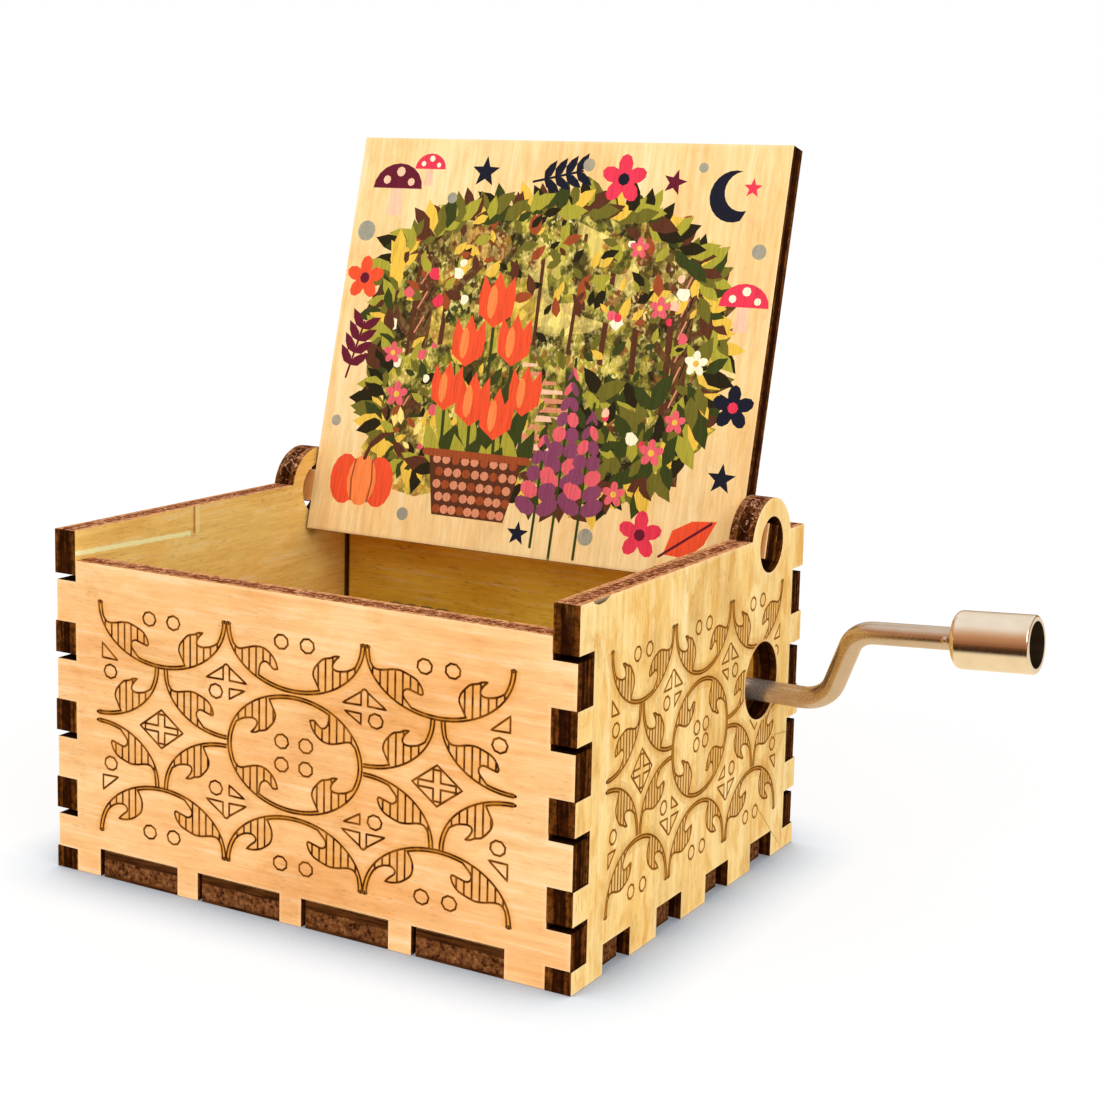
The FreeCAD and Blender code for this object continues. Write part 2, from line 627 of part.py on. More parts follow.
def worm():
    """Single-start worm pressed on the drive shaft."""
    lead = math.pi * MODULE
    length = size("worm_turns") * lead
    pitch_radius = size("worm_radius")
    root = pitch_radius - DEDENDUM
    tip = pitch_radius + ADDENDUM
    sunk = root - MODULE / 3  # the thread's profile reaches into the core
    corners = []
    for radius, side in ((sunk, -1), (tip, -1), (tip, 1), (sunk, 1)):
        corners.append(Vector(radius, 0, side * tooth_half(radius - pitch_radius)))
    profile = Part.makePolygon(corners + corners[:1])
    swept = length + lead
    helix = Part.makeLongHelix(lead, swept, pitch_radius, 0, HAND < 0)
    thread = Part.Wire(helix).makePipeShell([profile], True, True)
    thread.translate(Vector(0, 0, -swept / 2))
    keep = Part.makeCylinder(2 * tip, length, Vector(0, 0, -length / 2))
    core = Part.makeCylinder(root, length, Vector(0, 0, -length / 2))
    threaded = core.fuse(thread.common(keep)).removeSplitter()
    # turn the crest at mid length to face the wheel, where the wheel has a gap
    threaded.rotate(Vector(), Vector(0, 0, 1), HAND * 360 * swept / 2 / lead)
    threaded.rotate(Vector(), Vector(0, 1, 0), 90)
    threaded.translate(Vector(-size("drum_left"), size("shaft_behind"), size("shaft_up")))
    plain = "worm_hub_left - drum_left - worm_turns * pi * tooth_module / 2"
    hub = on_shaft("worm_plain_hub", "worm_hub", f"{plain} + tooth_module / 3", "-worm_hub_left")
    body = joined("worm_body", [shaped("worm_thread", threaded), hub])
    bore = on_shaft("worm_bore", "shaft_radius", "shaft_left + shaft_right", "-shaft_left")
    return node("worm", without("worm_turned", body, [bore]))


def drive_shaft():
    body = on_shaft("shaft_bar", "shaft_radius", "shaft_left + shaft_right", "-shaft_left")
    deep = f"socket_depth + {OVER}"
    socket = on_shaft("shaft_socket", "socket_radius", deep, "shaft_right - socket_depth")
    groove_x = "-clip_left - running"
    groove_width = "clip_plate + 2 * running"
    ring = on_shaft("groove_ring", f"shaft_radius + {OVER}", groove_width, groove_x)
    groove = without("clip_groove", ring, [on_shaft("groove_core", "clip_eye", groove_width, groove_x)])
    return node("drive_shaft", without("shaft_turned", body, [socket, groove]))


def retaining_clip():
    """Open spring clip in the shaft's groove, outside the left post."""
    disc = on_shaft("clip_disc", "clip_radius", "clip_plate", "-clip_left")
    through = f"clip_plate + 2 * {OVER}"
    eye = on_shaft("clip_eye_cut", "clip_eye", through, f"-clip_left - {OVER}")
    mouth = block("clip_mouth_cut", (through, "clip_mouth", f"clip_radius + {OVER}"),
                  (f"-clip_left - {OVER}", "shaft_behind - clip_mouth / 2", "shaft_up"))
    return node("retaining_clip", without("clip_stamped", disc, [eye, mouth]))


worm_wheel()
worm()
drive_shaft()
retaining_clip()

# --------------------------------------------------------------------- crank

LEAN = math.radians(size("crank_lean"))
LIFT = math.radians(size("grip_lift"))
CRANK_OUT = Vector(0, -math.sin(LEAN), math.cos(LEAN))
CRANK_AXIS = Vector(0, size("shaft_behind"), size("shaft_up"))
GRIP = Vector(math.cos(LIFT), 0, 0) + CRANK_OUT * math.sin(LIFT)
BEND_TWO = CRANK_AXIS + Vector(size("crank_bend_two"), 0, 0) + CRANK_OUT * size("crank_throw")


def on_grip(x):
    """Point of the grip's axis at a distance right of the box's middle."""
    return BEND_TWO + GRIP * ((x - BEND_TWO.x) / GRIP.x)


def rounded_path(corners, radii):
    """Straight runs joined by tangent arcs."""
    edges = []
    start = corners[0]
    for before, corner, after, radius in zip(corners, corners[1:], corners[2:], radii):
        into = (corner - before).normalize()
        out = (after - corner).normalize()
        turn = into.getAngle(out)
        cut = radius * math.tan(turn / 2)
        first = corner - into * cut
        last = corner + out * cut
        inward = (out - into).normalize()
        middle = corner + inward * (radius / math.cos(turn / 2) - radius)
        edges.append(Part.LineSegment(start, first).toShape())
        edges.append(Part.Arc(first, middle, last).toShape())
        start = last
    edges.append(Part.LineSegment(start, corners[-1]).toShape())
    return Part.Wire(edges)


def crank_rod():
    """Bent rod, screwed into the shaft by a stud; its far end is riveted inside the knob."""
    end = size("grip_start") + size("knob_floor") + size("knob_play")
    corners = [
        CRANK_AXIS + Vector(size("shaft_right"), 0, 0),
        CRANK_AXIS + Vector(size("crank_bend_one"), 0, 0),
        BEND_TWO,
        on_grip(end),
    ]
    path = rounded_path(corners, (size("bend_radius_one"), size("bend_radius_two")))
    radius = size("rod_radius")
    ring = Part.Wire(Part.Circle(corners[0], Vector(1, 0, 0), radius).toShape())
    rod = path.makePipeShell([ring], True, False)
    straight = math.pi * radius**2 * path.Length
    print(f"crank rod, volume over section times length: {rod.Volume / straight:.4f}")
    reach = size("stud_length")
    stud_radius = size("socket_radius") - size("stud_ease")
    stud = Part.makeCylinder(stud_radius, reach, corners[0] - Vector(reach, 0, 0), Vector(1, 0, 0))
    head = Part.makeCylinder(size("rivet_radius"), size("rivet_depth"), on_grip(end), GRIP)
    pieces = [stud, head]
    # two pinched lugs keep the knob from sliding inward
    lug_radius = size("lug_radius")
    across = GRIP.cross(Vector(0, 0, 1)).normalize()
    lug_middle = on_grip(size("grip_start") - 2 * lug_radius)
    for side in (-1, 1):
        lug = Part.makeSphere(lug_radius)
        lug.translate(lug_middle + across * side * (radius - lug_radius / 4))
        pieces.append(lug)
    return node("crank_rod", shaped("crank_rod_bent", rod.multiFuse(pieces).removeSplitter()))


def rounded_rim(solid, middle, radius):
    """Round the circular edge whose centre is given."""
    rims = [edge for edge in solid.Edges if edge.Closed and (edge.CenterOfMass - middle).Length < 0.01]
    return solid.makeFillet(radius, rims)


def knob():
    """Hollow turned knob that spins between the lugs and the riveted end of the rod."""
    radius = size("knob_radius")
    length = size("knob_length")
    floor = size("knob_floor")
    start = on_grip(size("grip_start"))
    shell = Part.makeCylinder(radius, length, start, GRIP)
    shell = rounded_rim(shell, start, size("knob_round"))
    shell = rounded_rim(shell, start + GRIP * length, size("knob_rim_round"))
    hollow = Part.makeCylinder(radius - size("knob_wall"), length, start + GRIP * floor, GRIP)
    bore = Part.makeCylinder(size("rod_radius") + size("running"), length, start - GRIP, GRIP)
    return node("crank_knob", shaped("crank_knob_turned", shell.cut(hollow).cut(bore)))


crank_rod()
knob()

# -------------------------------------------------------------------- output

doc.recompute()


def check_document():
    for thing in doc.Objects:
        if {"Invalid", "Error"} & set(thing.State):
            raise RuntimeError(f"{thing.Label} did not recompute: {thing.State}")
    for thing in NODES:
        if thing.Shape.isNull() or not thing.Shape.isValid() or not thing.Shape.Solids:
            raise RuntimeError(f"{thing.Label} has no valid solid")


check_document()
os.makedirs("parts", exist_ok=True)
for thing in NODES:
    thing.Shape.exportStep(f"parts/{thing.Label}.step")
    print(f"{thing.Label:16s} solids {len(thing.Shape.Solids):3d}  volume {thing.Shape.Volume:9.1f} mm3")
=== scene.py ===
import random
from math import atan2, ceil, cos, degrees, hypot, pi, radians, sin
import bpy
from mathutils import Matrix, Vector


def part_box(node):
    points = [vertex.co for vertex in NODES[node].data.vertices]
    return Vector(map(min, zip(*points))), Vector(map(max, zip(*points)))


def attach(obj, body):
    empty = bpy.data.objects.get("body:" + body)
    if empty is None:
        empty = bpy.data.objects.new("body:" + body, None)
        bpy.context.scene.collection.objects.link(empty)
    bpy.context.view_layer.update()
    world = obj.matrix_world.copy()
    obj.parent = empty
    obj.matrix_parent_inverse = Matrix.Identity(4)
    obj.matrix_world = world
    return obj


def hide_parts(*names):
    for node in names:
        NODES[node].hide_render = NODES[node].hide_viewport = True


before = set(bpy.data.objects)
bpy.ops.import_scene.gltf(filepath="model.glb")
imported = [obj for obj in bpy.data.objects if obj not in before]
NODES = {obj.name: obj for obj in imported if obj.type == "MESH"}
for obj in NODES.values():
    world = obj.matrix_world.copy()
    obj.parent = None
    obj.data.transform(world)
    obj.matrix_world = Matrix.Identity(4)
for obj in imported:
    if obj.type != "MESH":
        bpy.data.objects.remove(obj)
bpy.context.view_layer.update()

# Looks of the hand-cranked wooden music box.
# The frame is in metres. Art on a panel is in millimetres on its outer face.

from types import SimpleNamespace

import bpy
import numpy
from mathutils import Matrix, Vector
from mathutils.geometry import delaunay_2d_cdt
from mathutils.kdtree import KDTree

MM = 0.001
X_AXIS, Y_AXIS, Z_AXIS = Vector((1, 0, 0)), Vector((0, 1, 0)), Vector((0, 0, 1))
X, Y, Z = 0, 1, 2
LID_LEAN = radians(14)   # the open lid leans back this far from upright
LID_OUTWARD = Vector((0, -cos(LID_LEAN), sin(LID_LEAN)))


def in_scene(name, data):
    """A new object with this data."""
    made = bpy.data.objects.new(name, data)
    bpy.context.scene.collection.objects.link(made)
    return made


# ------------------------------------------------------------------ shader nodes

def tint(red, green, blue, cover=1.0):
    """A colour as seen on screen, 0 to 255, turned into the linear one that shaders use."""
    linear = []
    for level in (red, green, blue):
        share = level / 255
        linear.append(share / 12.92 if share <= 0.04045 else ((share + 0.055) / 1.055) ** 2.4)
    return (*linear, cover)


def drawn(axis, along, across):
    """A scale per millimetre for marks that are drawn out along one axis."""
    scale = [across, across, across]
    scale[axis] = along
    return scale


class Shader:
    """A node tree whose nodes are added by short calls; each call returns an output socket."""

    def __init__(self, tree, lean=0.0):
        self.tree = tree
        self.lean = lean

    @classmethod
    def material(cls, name, lean=0.0):
        made = bpy.data.materials.new(name)
        made.use_nodes = True
        shader = cls(made.node_tree, lean)
        shader.made = made
        shader.surface = made.node_tree.nodes["Principled BSDF"]
        return shader

    def finish(self, **inputs):
        """Set the surface's inputs; an underscore stands for a space in a socket's name."""
        for key, value in inputs.items():
            self.feed(self.surface.inputs[key.replace("_", " ")], value)
        return self.made

    def node(self, kind, inputs, **settings):
        made = self.tree.nodes.new("ShaderNode" + kind)
        for key, value in settings.items():
            setattr(made, key, value)
        for key, value in inputs.items():
            self.feed(made.inputs[key], value)
        return made

    def feed(self, socket, value):
        if isinstance(value, bpy.types.NodeSocket):
            self.tree.links.new(value, socket)
        else:
            socket.default_value = value

    def where(self, per_mm=1):
        """The point on the object in millimetres, a leaning panel stood upright, times a scale."""
        scale = (per_mm, per_mm, per_mm) if isinstance(per_mm, (int, float)) else per_mm
        point = self.node("TexCoord", {}).outputs["Object"]
        if self.lean:
            turned = {"Vector": point, "Angle": self.lean}
            point = self.node("VectorRotate", turned, rotation_type="X_AXIS").outputs[0]
        return self.node("Mapping", {"Vector": point, "Scale": [s / MM for s in scale]}).outputs[0]

    def axis(self, vector, index):
        return self.node("SeparateXYZ", {"Vector": vector}).outputs[index]

    def at(self, index):
        """The place along an axis, in millimetres."""
        return self.axis(self.where(), index)

    def facing(self, index):
        return self.axis(self.node("TexCoord", {}).outputs["Normal"], index)

    def noise(self, per_mm, detail=3.0, rough=0.5, bend=0.0):
        return self.node("TexNoise", {"Vector": self.where(per_mm), "Scale": 1.0, "Detail": detail,
                                      "Roughness": rough, "Distortion": bend}).outputs[0]

    def cells(self, per_mm):
        return self.node("TexVoronoi", {"Vector": self.where(per_mm), "Scale": 1.0}).outputs["Color"]

    def ramp(self, value, *stops):
        made = self.node("ValToRGB", {"Fac": value})
        points = made.color_ramp.elements
        while len(points) < len(stops):
            points.new(0.5)
        for point, (place, colour) in zip(points, stops):
            point.position = place
            point.color = colour if isinstance(colour, tuple) else (colour, colour, colour, 1)
        return made.outputs[0]

    def mix(self, share, first, second, blend="MIX"):
        made = self.node("Mix", {0: share, 6: first, 7: second}, data_type="RGBA", blend_type=blend)
        return made.outputs[2]

    def math(self, operation, first, second=0.0, clamp=False):
        return self.node("Math", {0: first, 1: second}, operation=operation, use_clamp=clamp).outputs[0]

    def times(self, first, second):
        return self.math("MULTIPLY", first, second)

    def plus(self, first, second, clamp=False):
        return self.math("ADD", first, second, clamp)

    def minus(self, first, second, clamp=False):
        return self.math("SUBTRACT", first, second, clamp)

    def off(self, value, place):
        """The distance from a place, either way."""
        return self.math("ABSOLUTE", self.minus(value, place))

    def mark(self, name, output="Fac"):
        """An attribute of the mesh."""
        return self.node("Attribute", {}, attribute_name=name).outputs[output]

    def bump(self, height, strength, depth_mm):
        inputs = {"Height": height, "Strength": strength, "Distance": depth_mm * MM}
        return self.node("Bump", inputs).outputs[0]


# ------------------------------------------------------------------ wood

def veneer(wood, pale, deep, grain, cloudy=0.3, specks=0.6):
    """Colour and height of birch veneer; grain is the axis that it runs along, cloudy its grey stain."""
    cloud = wood.noise(drawn(grain, 0.045, 0.12), 3, 0.55)
    streak = wood.noise(drawn(grain, 0.07, 1.3), 4, 0.62, 0.25)
    fibre = wood.noise(drawn(grain, 0.4, 8.0), 3, 0.6)
    pore = wood.noise(drawn(grain, 0.9, 5.0), 2, 0.5, 0.3)
    region = wood.noise(drawn(grain, 0.07, 0.13), 2, 0.5)
    blotch = wood.noise(drawn(grain, 0.22, 0.5), 4, 0.6, 0.6)
    brown, honey = (0.74, 0.58, 0.42, 1), (1.0, 0.86, 0.66, 1)
    grey, amber = (0.72, 0.62, 0.46, 1), (0.86, 0.66, 0.36, 1)
    colour = wood.mix(wood.ramp(cloud, (0.34, 0.0), (0.66, 1.0)), pale, deep)
    colour = wood.mix(wood.ramp(streak, (0.45, 0.0), (0.72, 0.46)), colour, brown, "MULTIPLY")
    colour = wood.mix(wood.ramp(streak, (0.28, 0.34), (0.45, 0.0)), colour, honey)
    colour = wood.mix(0.55, colour, wood.ramp(fibre, (0.35, 0.84), (0.65, 1.05)), "MULTIPLY")
    colour = wood.mix(wood.ramp(region, (0.50, 0.0), (0.70, cloudy)), colour, grey, "MULTIPLY")
    colour = wood.mix(wood.ramp(blotch, (0.48, 0.0), (0.66, cloudy)), colour, amber, "MULTIPLY")
    crowded = wood.ramp(region, (0.40, 0.2 * specks), (0.60, specks))
    dash = wood.times(wood.ramp(pore, (0.60, 0.0), (0.70, 1.0)), crowded)
    colour = wood.mix(dash, colour, tint(158, 104, 56))
    return colour, wood.plus(wood.times(streak, 0.5), fibre)


def scored(wood, colour, burn_tone, edge_tone):
    """Burnt lines, by the mesh's scorch mark: a dark core that fades here and there, golden beside it."""
    burn = wood.mark("scorch")
    uneven = wood.noise(0.7, 3, 0.6)
    colour = wood.mix(wood.ramp(burn, (0.0, 0.0), (0.45, 0.6), (1.0, 1.0)), colour, edge_tone)
    fading = wood.ramp(uneven, (0.40, 1.0), (0.64, 0.55))
    core = wood.times(wood.ramp(burn, (0.35, 0.0), (0.9, 1.0)), fading)
    return wood.mix(core, colour, burn_tone)


def inked(wood, colour):
    """Ink or stain over the wood, by the mesh's ink mark; its alpha is how much it covers."""
    grain = wood.noise(drawn(Z, 0.25, 5.0), 3, 0.6)
    patchy = wood.noise(0.9, 3, 0.6)
    cover = wood.times(wood.mark("ink", "Alpha"), 1.6)
    cover = wood.minus(cover, wood.times(patchy, 0.6), clamp=True)
    ink = dappled(wood, wood.mark("ink", "Color"))
    ink = wood.mix(1.0, ink, wood.ramp(grain, (0.32, 0.78), (0.5, 1.0), (0.68, 1.12)), "MULTIPLY")
    return wood.mix(cover, colour, ink)


def dappled(wood, ink):
    """Leaf-like patches within the ink, by the mesh's leafy mark."""
    leafy = wood.mark("leafy")
    leaves = wood.axis(wood.cells((1.25, 1.25, 0.95)), X)
    small = wood.axis(wood.cells((2.8, 2.8, 2.2)), Y)
    shade = wood.noise((0.40, 0.40, 0.32), 5, 0.66)
    sun = wood.noise((0.16, 0.16, 0.13), 3, 0.55)
    greens = wood.ramp(leaves, (0.0, tint(44, 38, 12)), (0.22, tint(86, 84, 26)),
                       (0.44, tint(140, 134, 42)), (0.64, tint(206, 184, 66)),
                       (0.84, tint(248, 226, 116)), (0.95, tint(160, 82, 38)))
    ink = wood.mix(wood.times(leafy, 0.68), ink, greens)
    light = wood.times(leafy, wood.ramp(small, (0.72, 0.0), (0.80, 0.85)))
    light = wood.times(light, wood.ramp(sun, (0.42, 0.2), (0.6, 1.0)))
    ink = wood.mix(light, ink, tint(255, 234, 150))
    dark = wood.times(leafy, wood.ramp(shade, (0.40, 0.92), (0.54, 0.0)))
    return wood.mix(dark, ink, tint(40, 30, 10))


def birch(name, tones, grain, lean=0.0, carved=None, cloudy=0.3, specks=0.6, corner_shade=(), light_streaks=False):
    """A birch face. carved holds the two tones of its scored lines. Inner corners lie at the places
    given along the grain, run up across it, and are darkened there as painted shade."""
    wood = Shader.material(name, lean)
    colour, height = veneer(wood, *tones, grain, cloudy, specks)
    if carved:
        colour = inked(wood, colour)
        # a pale painted highlight along the panel's edges
        colour = wood.mix(wood.times(wood.mark("edge_highlight"), 0.3), colour, tint(255, 226, 178))
        colour = scored(wood, colour, *carved)
    # painted light streaks on the left panel's inside
    if light_streaks:
        colour = painted_light_streaks(wood, colour)
    # painted shade in the inner corners
    for place in corner_shade:
        away = wood.off(wood.at(grain), place)
        colour = wood.mix(wood.ramp(away, (0.16, 1.0), (0.42, 0.0)), colour, tint(58, 30, 10))
    return wood.finish(Base_Color=colour, Roughness=wood.ramp(height, (0.5, 0.56), (1.0, 0.68)),
                       IOR=1.22, Normal=wood.bump(height, 0.3, 0.05))


LIT_LINE_LEVEL, LIT_LINE_END = 34.14, -7.2    # the painted light line's height, and where it stops along the panel
# the upright painted highlight, the painted shade line beside it, and the height they rise from
UPRIGHT_HIGHLIGHT, UPRIGHT_SHADE, UPRIGHT_FOOT = -6.0, -6.6, 34.1


def painted_light_streaks(wood, colour):
    """Painted light inside the left panel: a pale line near its top, which ends in an upright painted
    highlight with a painted shade line beside it.
    """
    along, level = wood.at(Y), wood.at(Z)
    ragged = wood.noise((1, 1.2, 1), 2, 0.5)
    wavy = wood.plus(level, wood.plus(wood.times(along, 0.03), wood.times(ragged, 0.3)))
    before = wood.math("LESS_THAN", along, LIT_LINE_END)
    above = wood.math("GREATER_THAN", level, UPRIGHT_FOOT)
    # the pale painted light line along the panel
    line = wood.times(wood.ramp(wood.off(wavy, LIT_LINE_LEVEL), (0.20, 1.0), (0.32, 0.0)), before)
    # the upright painted highlight
    crease = wood.times(wood.ramp(wood.off(along, UPRIGHT_HIGHLIGHT), (0.25, 0.7), (0.45, 0.0)), above)
    # the painted shade line beside it
    groove = wood.times(wood.ramp(wood.off(along, UPRIGHT_SHADE), (0.10, 0.8), (0.24, 0.0)), above)
    colour = wood.mix(crease, colour, tint(255, 232, 160))
    colour = wood.mix(groove, colour, tint(176, 112, 34))
    return wood.mix(line, colour, tint(255, 252, 186))


def layer(edge, axis, middle, ply, per_mm, ragged):
    """How far through a plywood panel a point lies, 0 to 1, with the layers a little ragged."""
    wave = edge.minus(edge.noise(per_mm, 4, 0.65), 0.5)
    offset = edge.plus(edge.minus(edge.at(axis), middle), edge.times(wave, ragged))
    return edge.plus(edge.math("DIVIDE", offset, ply), 0.5)


EAR_ABOVE = 1.0    # what stands this far above the height where edges turn pale is an ear


def burnt(name, panel, lit_top_above, lean=0.0):
    """A panel's laser-cut edges. What faces up above a height is pale, a painted top light; what faces up
    lower down is darkened as painted shade.
    """
    edge = Shader.material(name, lean)
    depth = layer(edge, panel.axis, panel.middle, panel.ply, drawn(panel.axis, 0.4, 1.1), 0.45)
    outer, core, glue = tint(106, 56, 16), tint(58, 24, 6), tint(34, 12, 3)
    layers = edge.ramp(depth, (0.0, tint(150, 92, 34)), (0.08, outer), (0.25, outer), (0.31, glue),
                       (0.38, core), (0.62, core), (0.68, glue), (0.75, outer), (0.93, outer),
                       (1.0, tint(160, 100, 38)))
    stripes = edge.noise(drawn(panel.axis, 2.6, 0.12), 3, 0.55)
    layers = edge.mix(edge.ramp(stripes, (0.36, 0.7), (0.54, 0.0)), layers, tint(30, 10, 2))
    layers = edge.mix(edge.ramp(stripes, (0.56, 0.0), (0.72, 0.45)), layers, tint(150, 96, 36))
    soot = edge.noise(1.3, 4, 0.66)
    layers = edge.mix(edge.ramp(soot, (0.42, 0.7), (0.58, 0.0)), layers, tint(26, 9, 3))
    dark = tint(84, 38, 16)
    # the layered cut face made pale, a painted top light for up-facing top edges
    lit_top = edge.ramp(depth, (0.0, tint(228, 170, 114)), (0.08, tint(208, 142, 92)),
                     (0.24, tint(190, 118, 70)), (0.30, dark), (0.38, tint(140, 76, 44)),
                     (0.62, tint(150, 84, 50)), (0.70, dark), (0.76, tint(192, 122, 74)),
                     (0.92, tint(212, 148, 96)), (1.0, tint(232, 176, 122)))
    flake = edge.noise(1.9, 4, 0.7)
    lit_top = edge.mix(edge.ramp(flake, (0.38, 0.8), (0.48, 0.0)), lit_top, tint(84, 38, 18))
    lit_top = edge.mix(edge.ramp(flake, (0.55, 0.0), (0.63, 0.8)), lit_top, tint(246, 184, 130))
    curl = edge.ramp(edge.off(edge.noise(0.8, 2, 0.5, 0.8), 0.5), (0.006, 0.75), (0.022, 0.0))
    up, level = edge.facing(Z), edge.at(Z)
    high = edge.math("GREATER_THAN", level, lit_top_above)
    on_ear = edge.math("GREATER_THAN", level, lit_top_above + EAR_ABOVE)
    is_up = edge.times(edge.ramp(up, (0.5, 0.0), (0.96, 0.5), (1.0, 1.0)),
                       edge.ramp(on_ear, (0.0, 1.0), (1.0, 0.55)))
    # up-facing cut faces lower down, as in the slots, get painted shade
    layers = edge.mix(edge.times(is_up, 0.8), layers, tint(30, 12, 4))
    # up-facing faces above the height take the pale painted top light
    colour = edge.mix(edge.times(is_up, high), layers, lit_top)
    lifted = edge.times(edge.ramp(up, (0.15, 0.0), (0.75, 1.0)), high)
    colour = edge.mix(edge.times(lifted, curl), colour, tint(232, 170, 130))
    return edge.finish(Base_Color=colour, Roughness=0.8, IOR=1.04,
                       Normal=edge.bump(edge.plus(soot, flake), 0.6, 0.12))


BOARD_TONES = tint(250, 208, 142), tint(238, 188, 116)


def floor_board(name, middle, ply):
    """Birch on the board's two faces; its ends have a dark top veneer over a speckled core."""
    board = Shader.material(name)
    face, grain = veneer(board, *BOARD_TONES, X)
    depth = layer(board, Z, middle, ply, drawn(X, 0.5, 1.4), 0.5)
    streak = board.noise((0.3, 0.3, 4.0), 3, 0.6)
    speck = board.noise(2.1, 3, 0.62)
    core = board.ramp(speck, (0.36, tint(48, 20, 6)), (0.46, tint(98, 56, 26)),
                      (0.60, tint(124, 78, 42)), (0.72, tint(156, 106, 66)))
    veneers = board.ramp(streak, (0.35, tint(46, 20, 4)), (0.65, tint(90, 50, 18)))
    is_core = board.ramp(depth, (0.09, 0.0), (0.13, 1.0), (0.68, 1.0), (0.72, 0.0))
    ends = board.mix(is_core, veneers, core)
    is_face = board.ramp(board.math("ABSOLUTE", board.facing(Z)), (0.7, 0.0), (0.72, 1.0))
    return board.finish(Base_Color=board.mix(is_face, ends, face), Roughness=0.7, IOR=1.1,
                        Normal=board.bump(board.mix(is_face, speck, grain), 0.5, 0.1))


# ------------------------------------------------------------------ art on a panel

LINE = 0.055      # half the width of a scored line
HALO = 0.12       # golden scorch beyond its edge
GROOVE = 0.08     # its depth
OUTER, INNER = 1.0, 0.952  # the two lines of an arc, as shares of its ellipse
HAZE, SCORCHED, TOASTED = 0.32, 0.42, 0.72    # how much the gold round the arcs covers
SHORTEST_HATCH, HATCH_GAP = 0.6, 0.06
MIDLINE = (OUTER + INNER) / 2
CLEAR_U, CLEAR_V = 0.4, 0.15    # how far a triangle stands off the middle of a crossing
BARE = (0.0, 0.0, 0.0, 0.0)

# Leaves on a quarter ellipse. A point is (share of the way to its side, share of the way to its foot).
# Each leaf is two runs that meet at its tip, and its ends lie on the inner line.
LONG_LEAF = (
    ((0.93, 0.24), (0.87, 0.335), (0.765, 0.342), (0.647, 0.308), (0.529, 0.297), (0.424, 0.335),
     (0.306, 0.40), (0.235, 0.50), (0.206, 0.60)),
    ((0.206, 0.60), (0.224, 0.642), (0.306, 0.617), (0.412, 0.583), (0.471, 0.633), (0.471, 0.717),
     (0.42, 0.80), (0.36, 0.882)),
)
ROUND_LEAF = (
    ((0.90, 0.32), (0.835, 0.395), (0.765, 0.39), (0.667, 0.35), (0.556, 0.315), (0.444, 0.325),
     (0.346, 0.40), (0.275, 0.51), (0.240, 0.64)),
    ((0.240, 0.64), (0.30, 0.655), (0.35, 0.60), (0.40, 0.552), (0.455, 0.56), (0.498, 0.62),
     (0.515, 0.72), (0.52, 0.797)),
)
FULL_LEAF = (
    ((0.37, 0.877), (0.318, 0.75), (0.276, 0.633), (0.294, 0.517), (0.353, 0.417), (0.424, 0.333),
     (0.518, 0.30), (0.576, 0.262), (0.647, 0.25)),
    ((0.647, 0.25), (0.592, 0.32), (0.556, 0.40), (0.557, 0.46), (0.60, 0.495), (0.671, 0.495),
     (0.776, 0.462), (0.87, 0.39)),
)
LOW_LEAF = (
    ((0.39, 0.868), (0.341, 0.767), (0.312, 0.65), (0.318, 0.55), (0.353, 0.45), (0.471, 0.333),
     (0.588, 0.283), (0.694, 0.275)),
    ((0.694, 0.275), (0.624, 0.367), (0.565, 0.433), (0.559, 0.50), (0.612, 0.55), (0.706, 0.542),
     (0.80, 0.483), (0.865, 0.397)),
)


def smooth(points, steps=3):
    """Catmull-Rom curve through the points."""
    padded = [points[0], *points, points[-1]]
    curve = []
    for p, q, r, s in zip(padded, padded[1:], padded[2:], padded[3:]):
        for k in range(steps):
            t = k / steps
            curve.append(tuple(
                0.5 * (2 * b + (c - a) * t + (2 * a - 5 * b + 4 * c - d) * t**2
                       + (3 * b - a - 3 * c + d) * t**3)
                for a, b, c, d in zip(p, q, r, s)))
    return curve + [points[-1]]


def arc(share, start, end):
    """Part of the quarter ellipse, by degrees from its side."""
    steps = max(2, int(abs(end - start) / 5))
    angles = [radians(start + (end - start) * k / steps) for k in range(steps + 1)]
    return [(share * cos(a), share * sin(a)) for a in angles]


def polar(u, v, angle, wide, high=None):
    """The point of an ellipse round a middle, at an angle in radians."""
    high = wide if high is None else high
    return (u + wide * cos(angle), v + high * sin(angle))


def placed(points, u, v, wide, high=None, turn=0.0):
    """Points scaled, turned by an angle in radians, and moved."""
    high = wide if high is None else high
    c, s = cos(turn), sin(turn)
    return [(u + wide * a * c - high * b * s, v + wide * a * s + high * b * c) for a, b in points]


def ellipse(u, v, wide, high, sides, turn=0.0):
    """Closed outline."""
    circle = [polar(0, 0, 2 * pi * k / sides, 1) for k in range(sides)]
    return placed(circle, u, v, wide, high, turn)


def angle_of(point):
    return degrees(atan2(point[1], point[0]))


def crossings(loop, x):
    """Heights at which an upright line meets a closed outline."""
    found = []
    for (x0, y0), (x1, y1) in zip(loop, loop[1:] + loop[:1]):
        if (x0 > x) != (x1 > x):
            found.append(y0 + (y1 - y0) * (x - x0) / (x1 - x0))
    return sorted(found)


class Art:
    """Scored lines, and patches of ink or stain; a later patch lies on top. All in millimetres."""

    def __init__(self):
        self.lines = []
        self.patches = []

    def patch(self, loop, ink, leafy=0.0):
        self.patches.append((loop, ink, leafy))

    def closed(self, points):
        self.lines.append(points + points[:1])


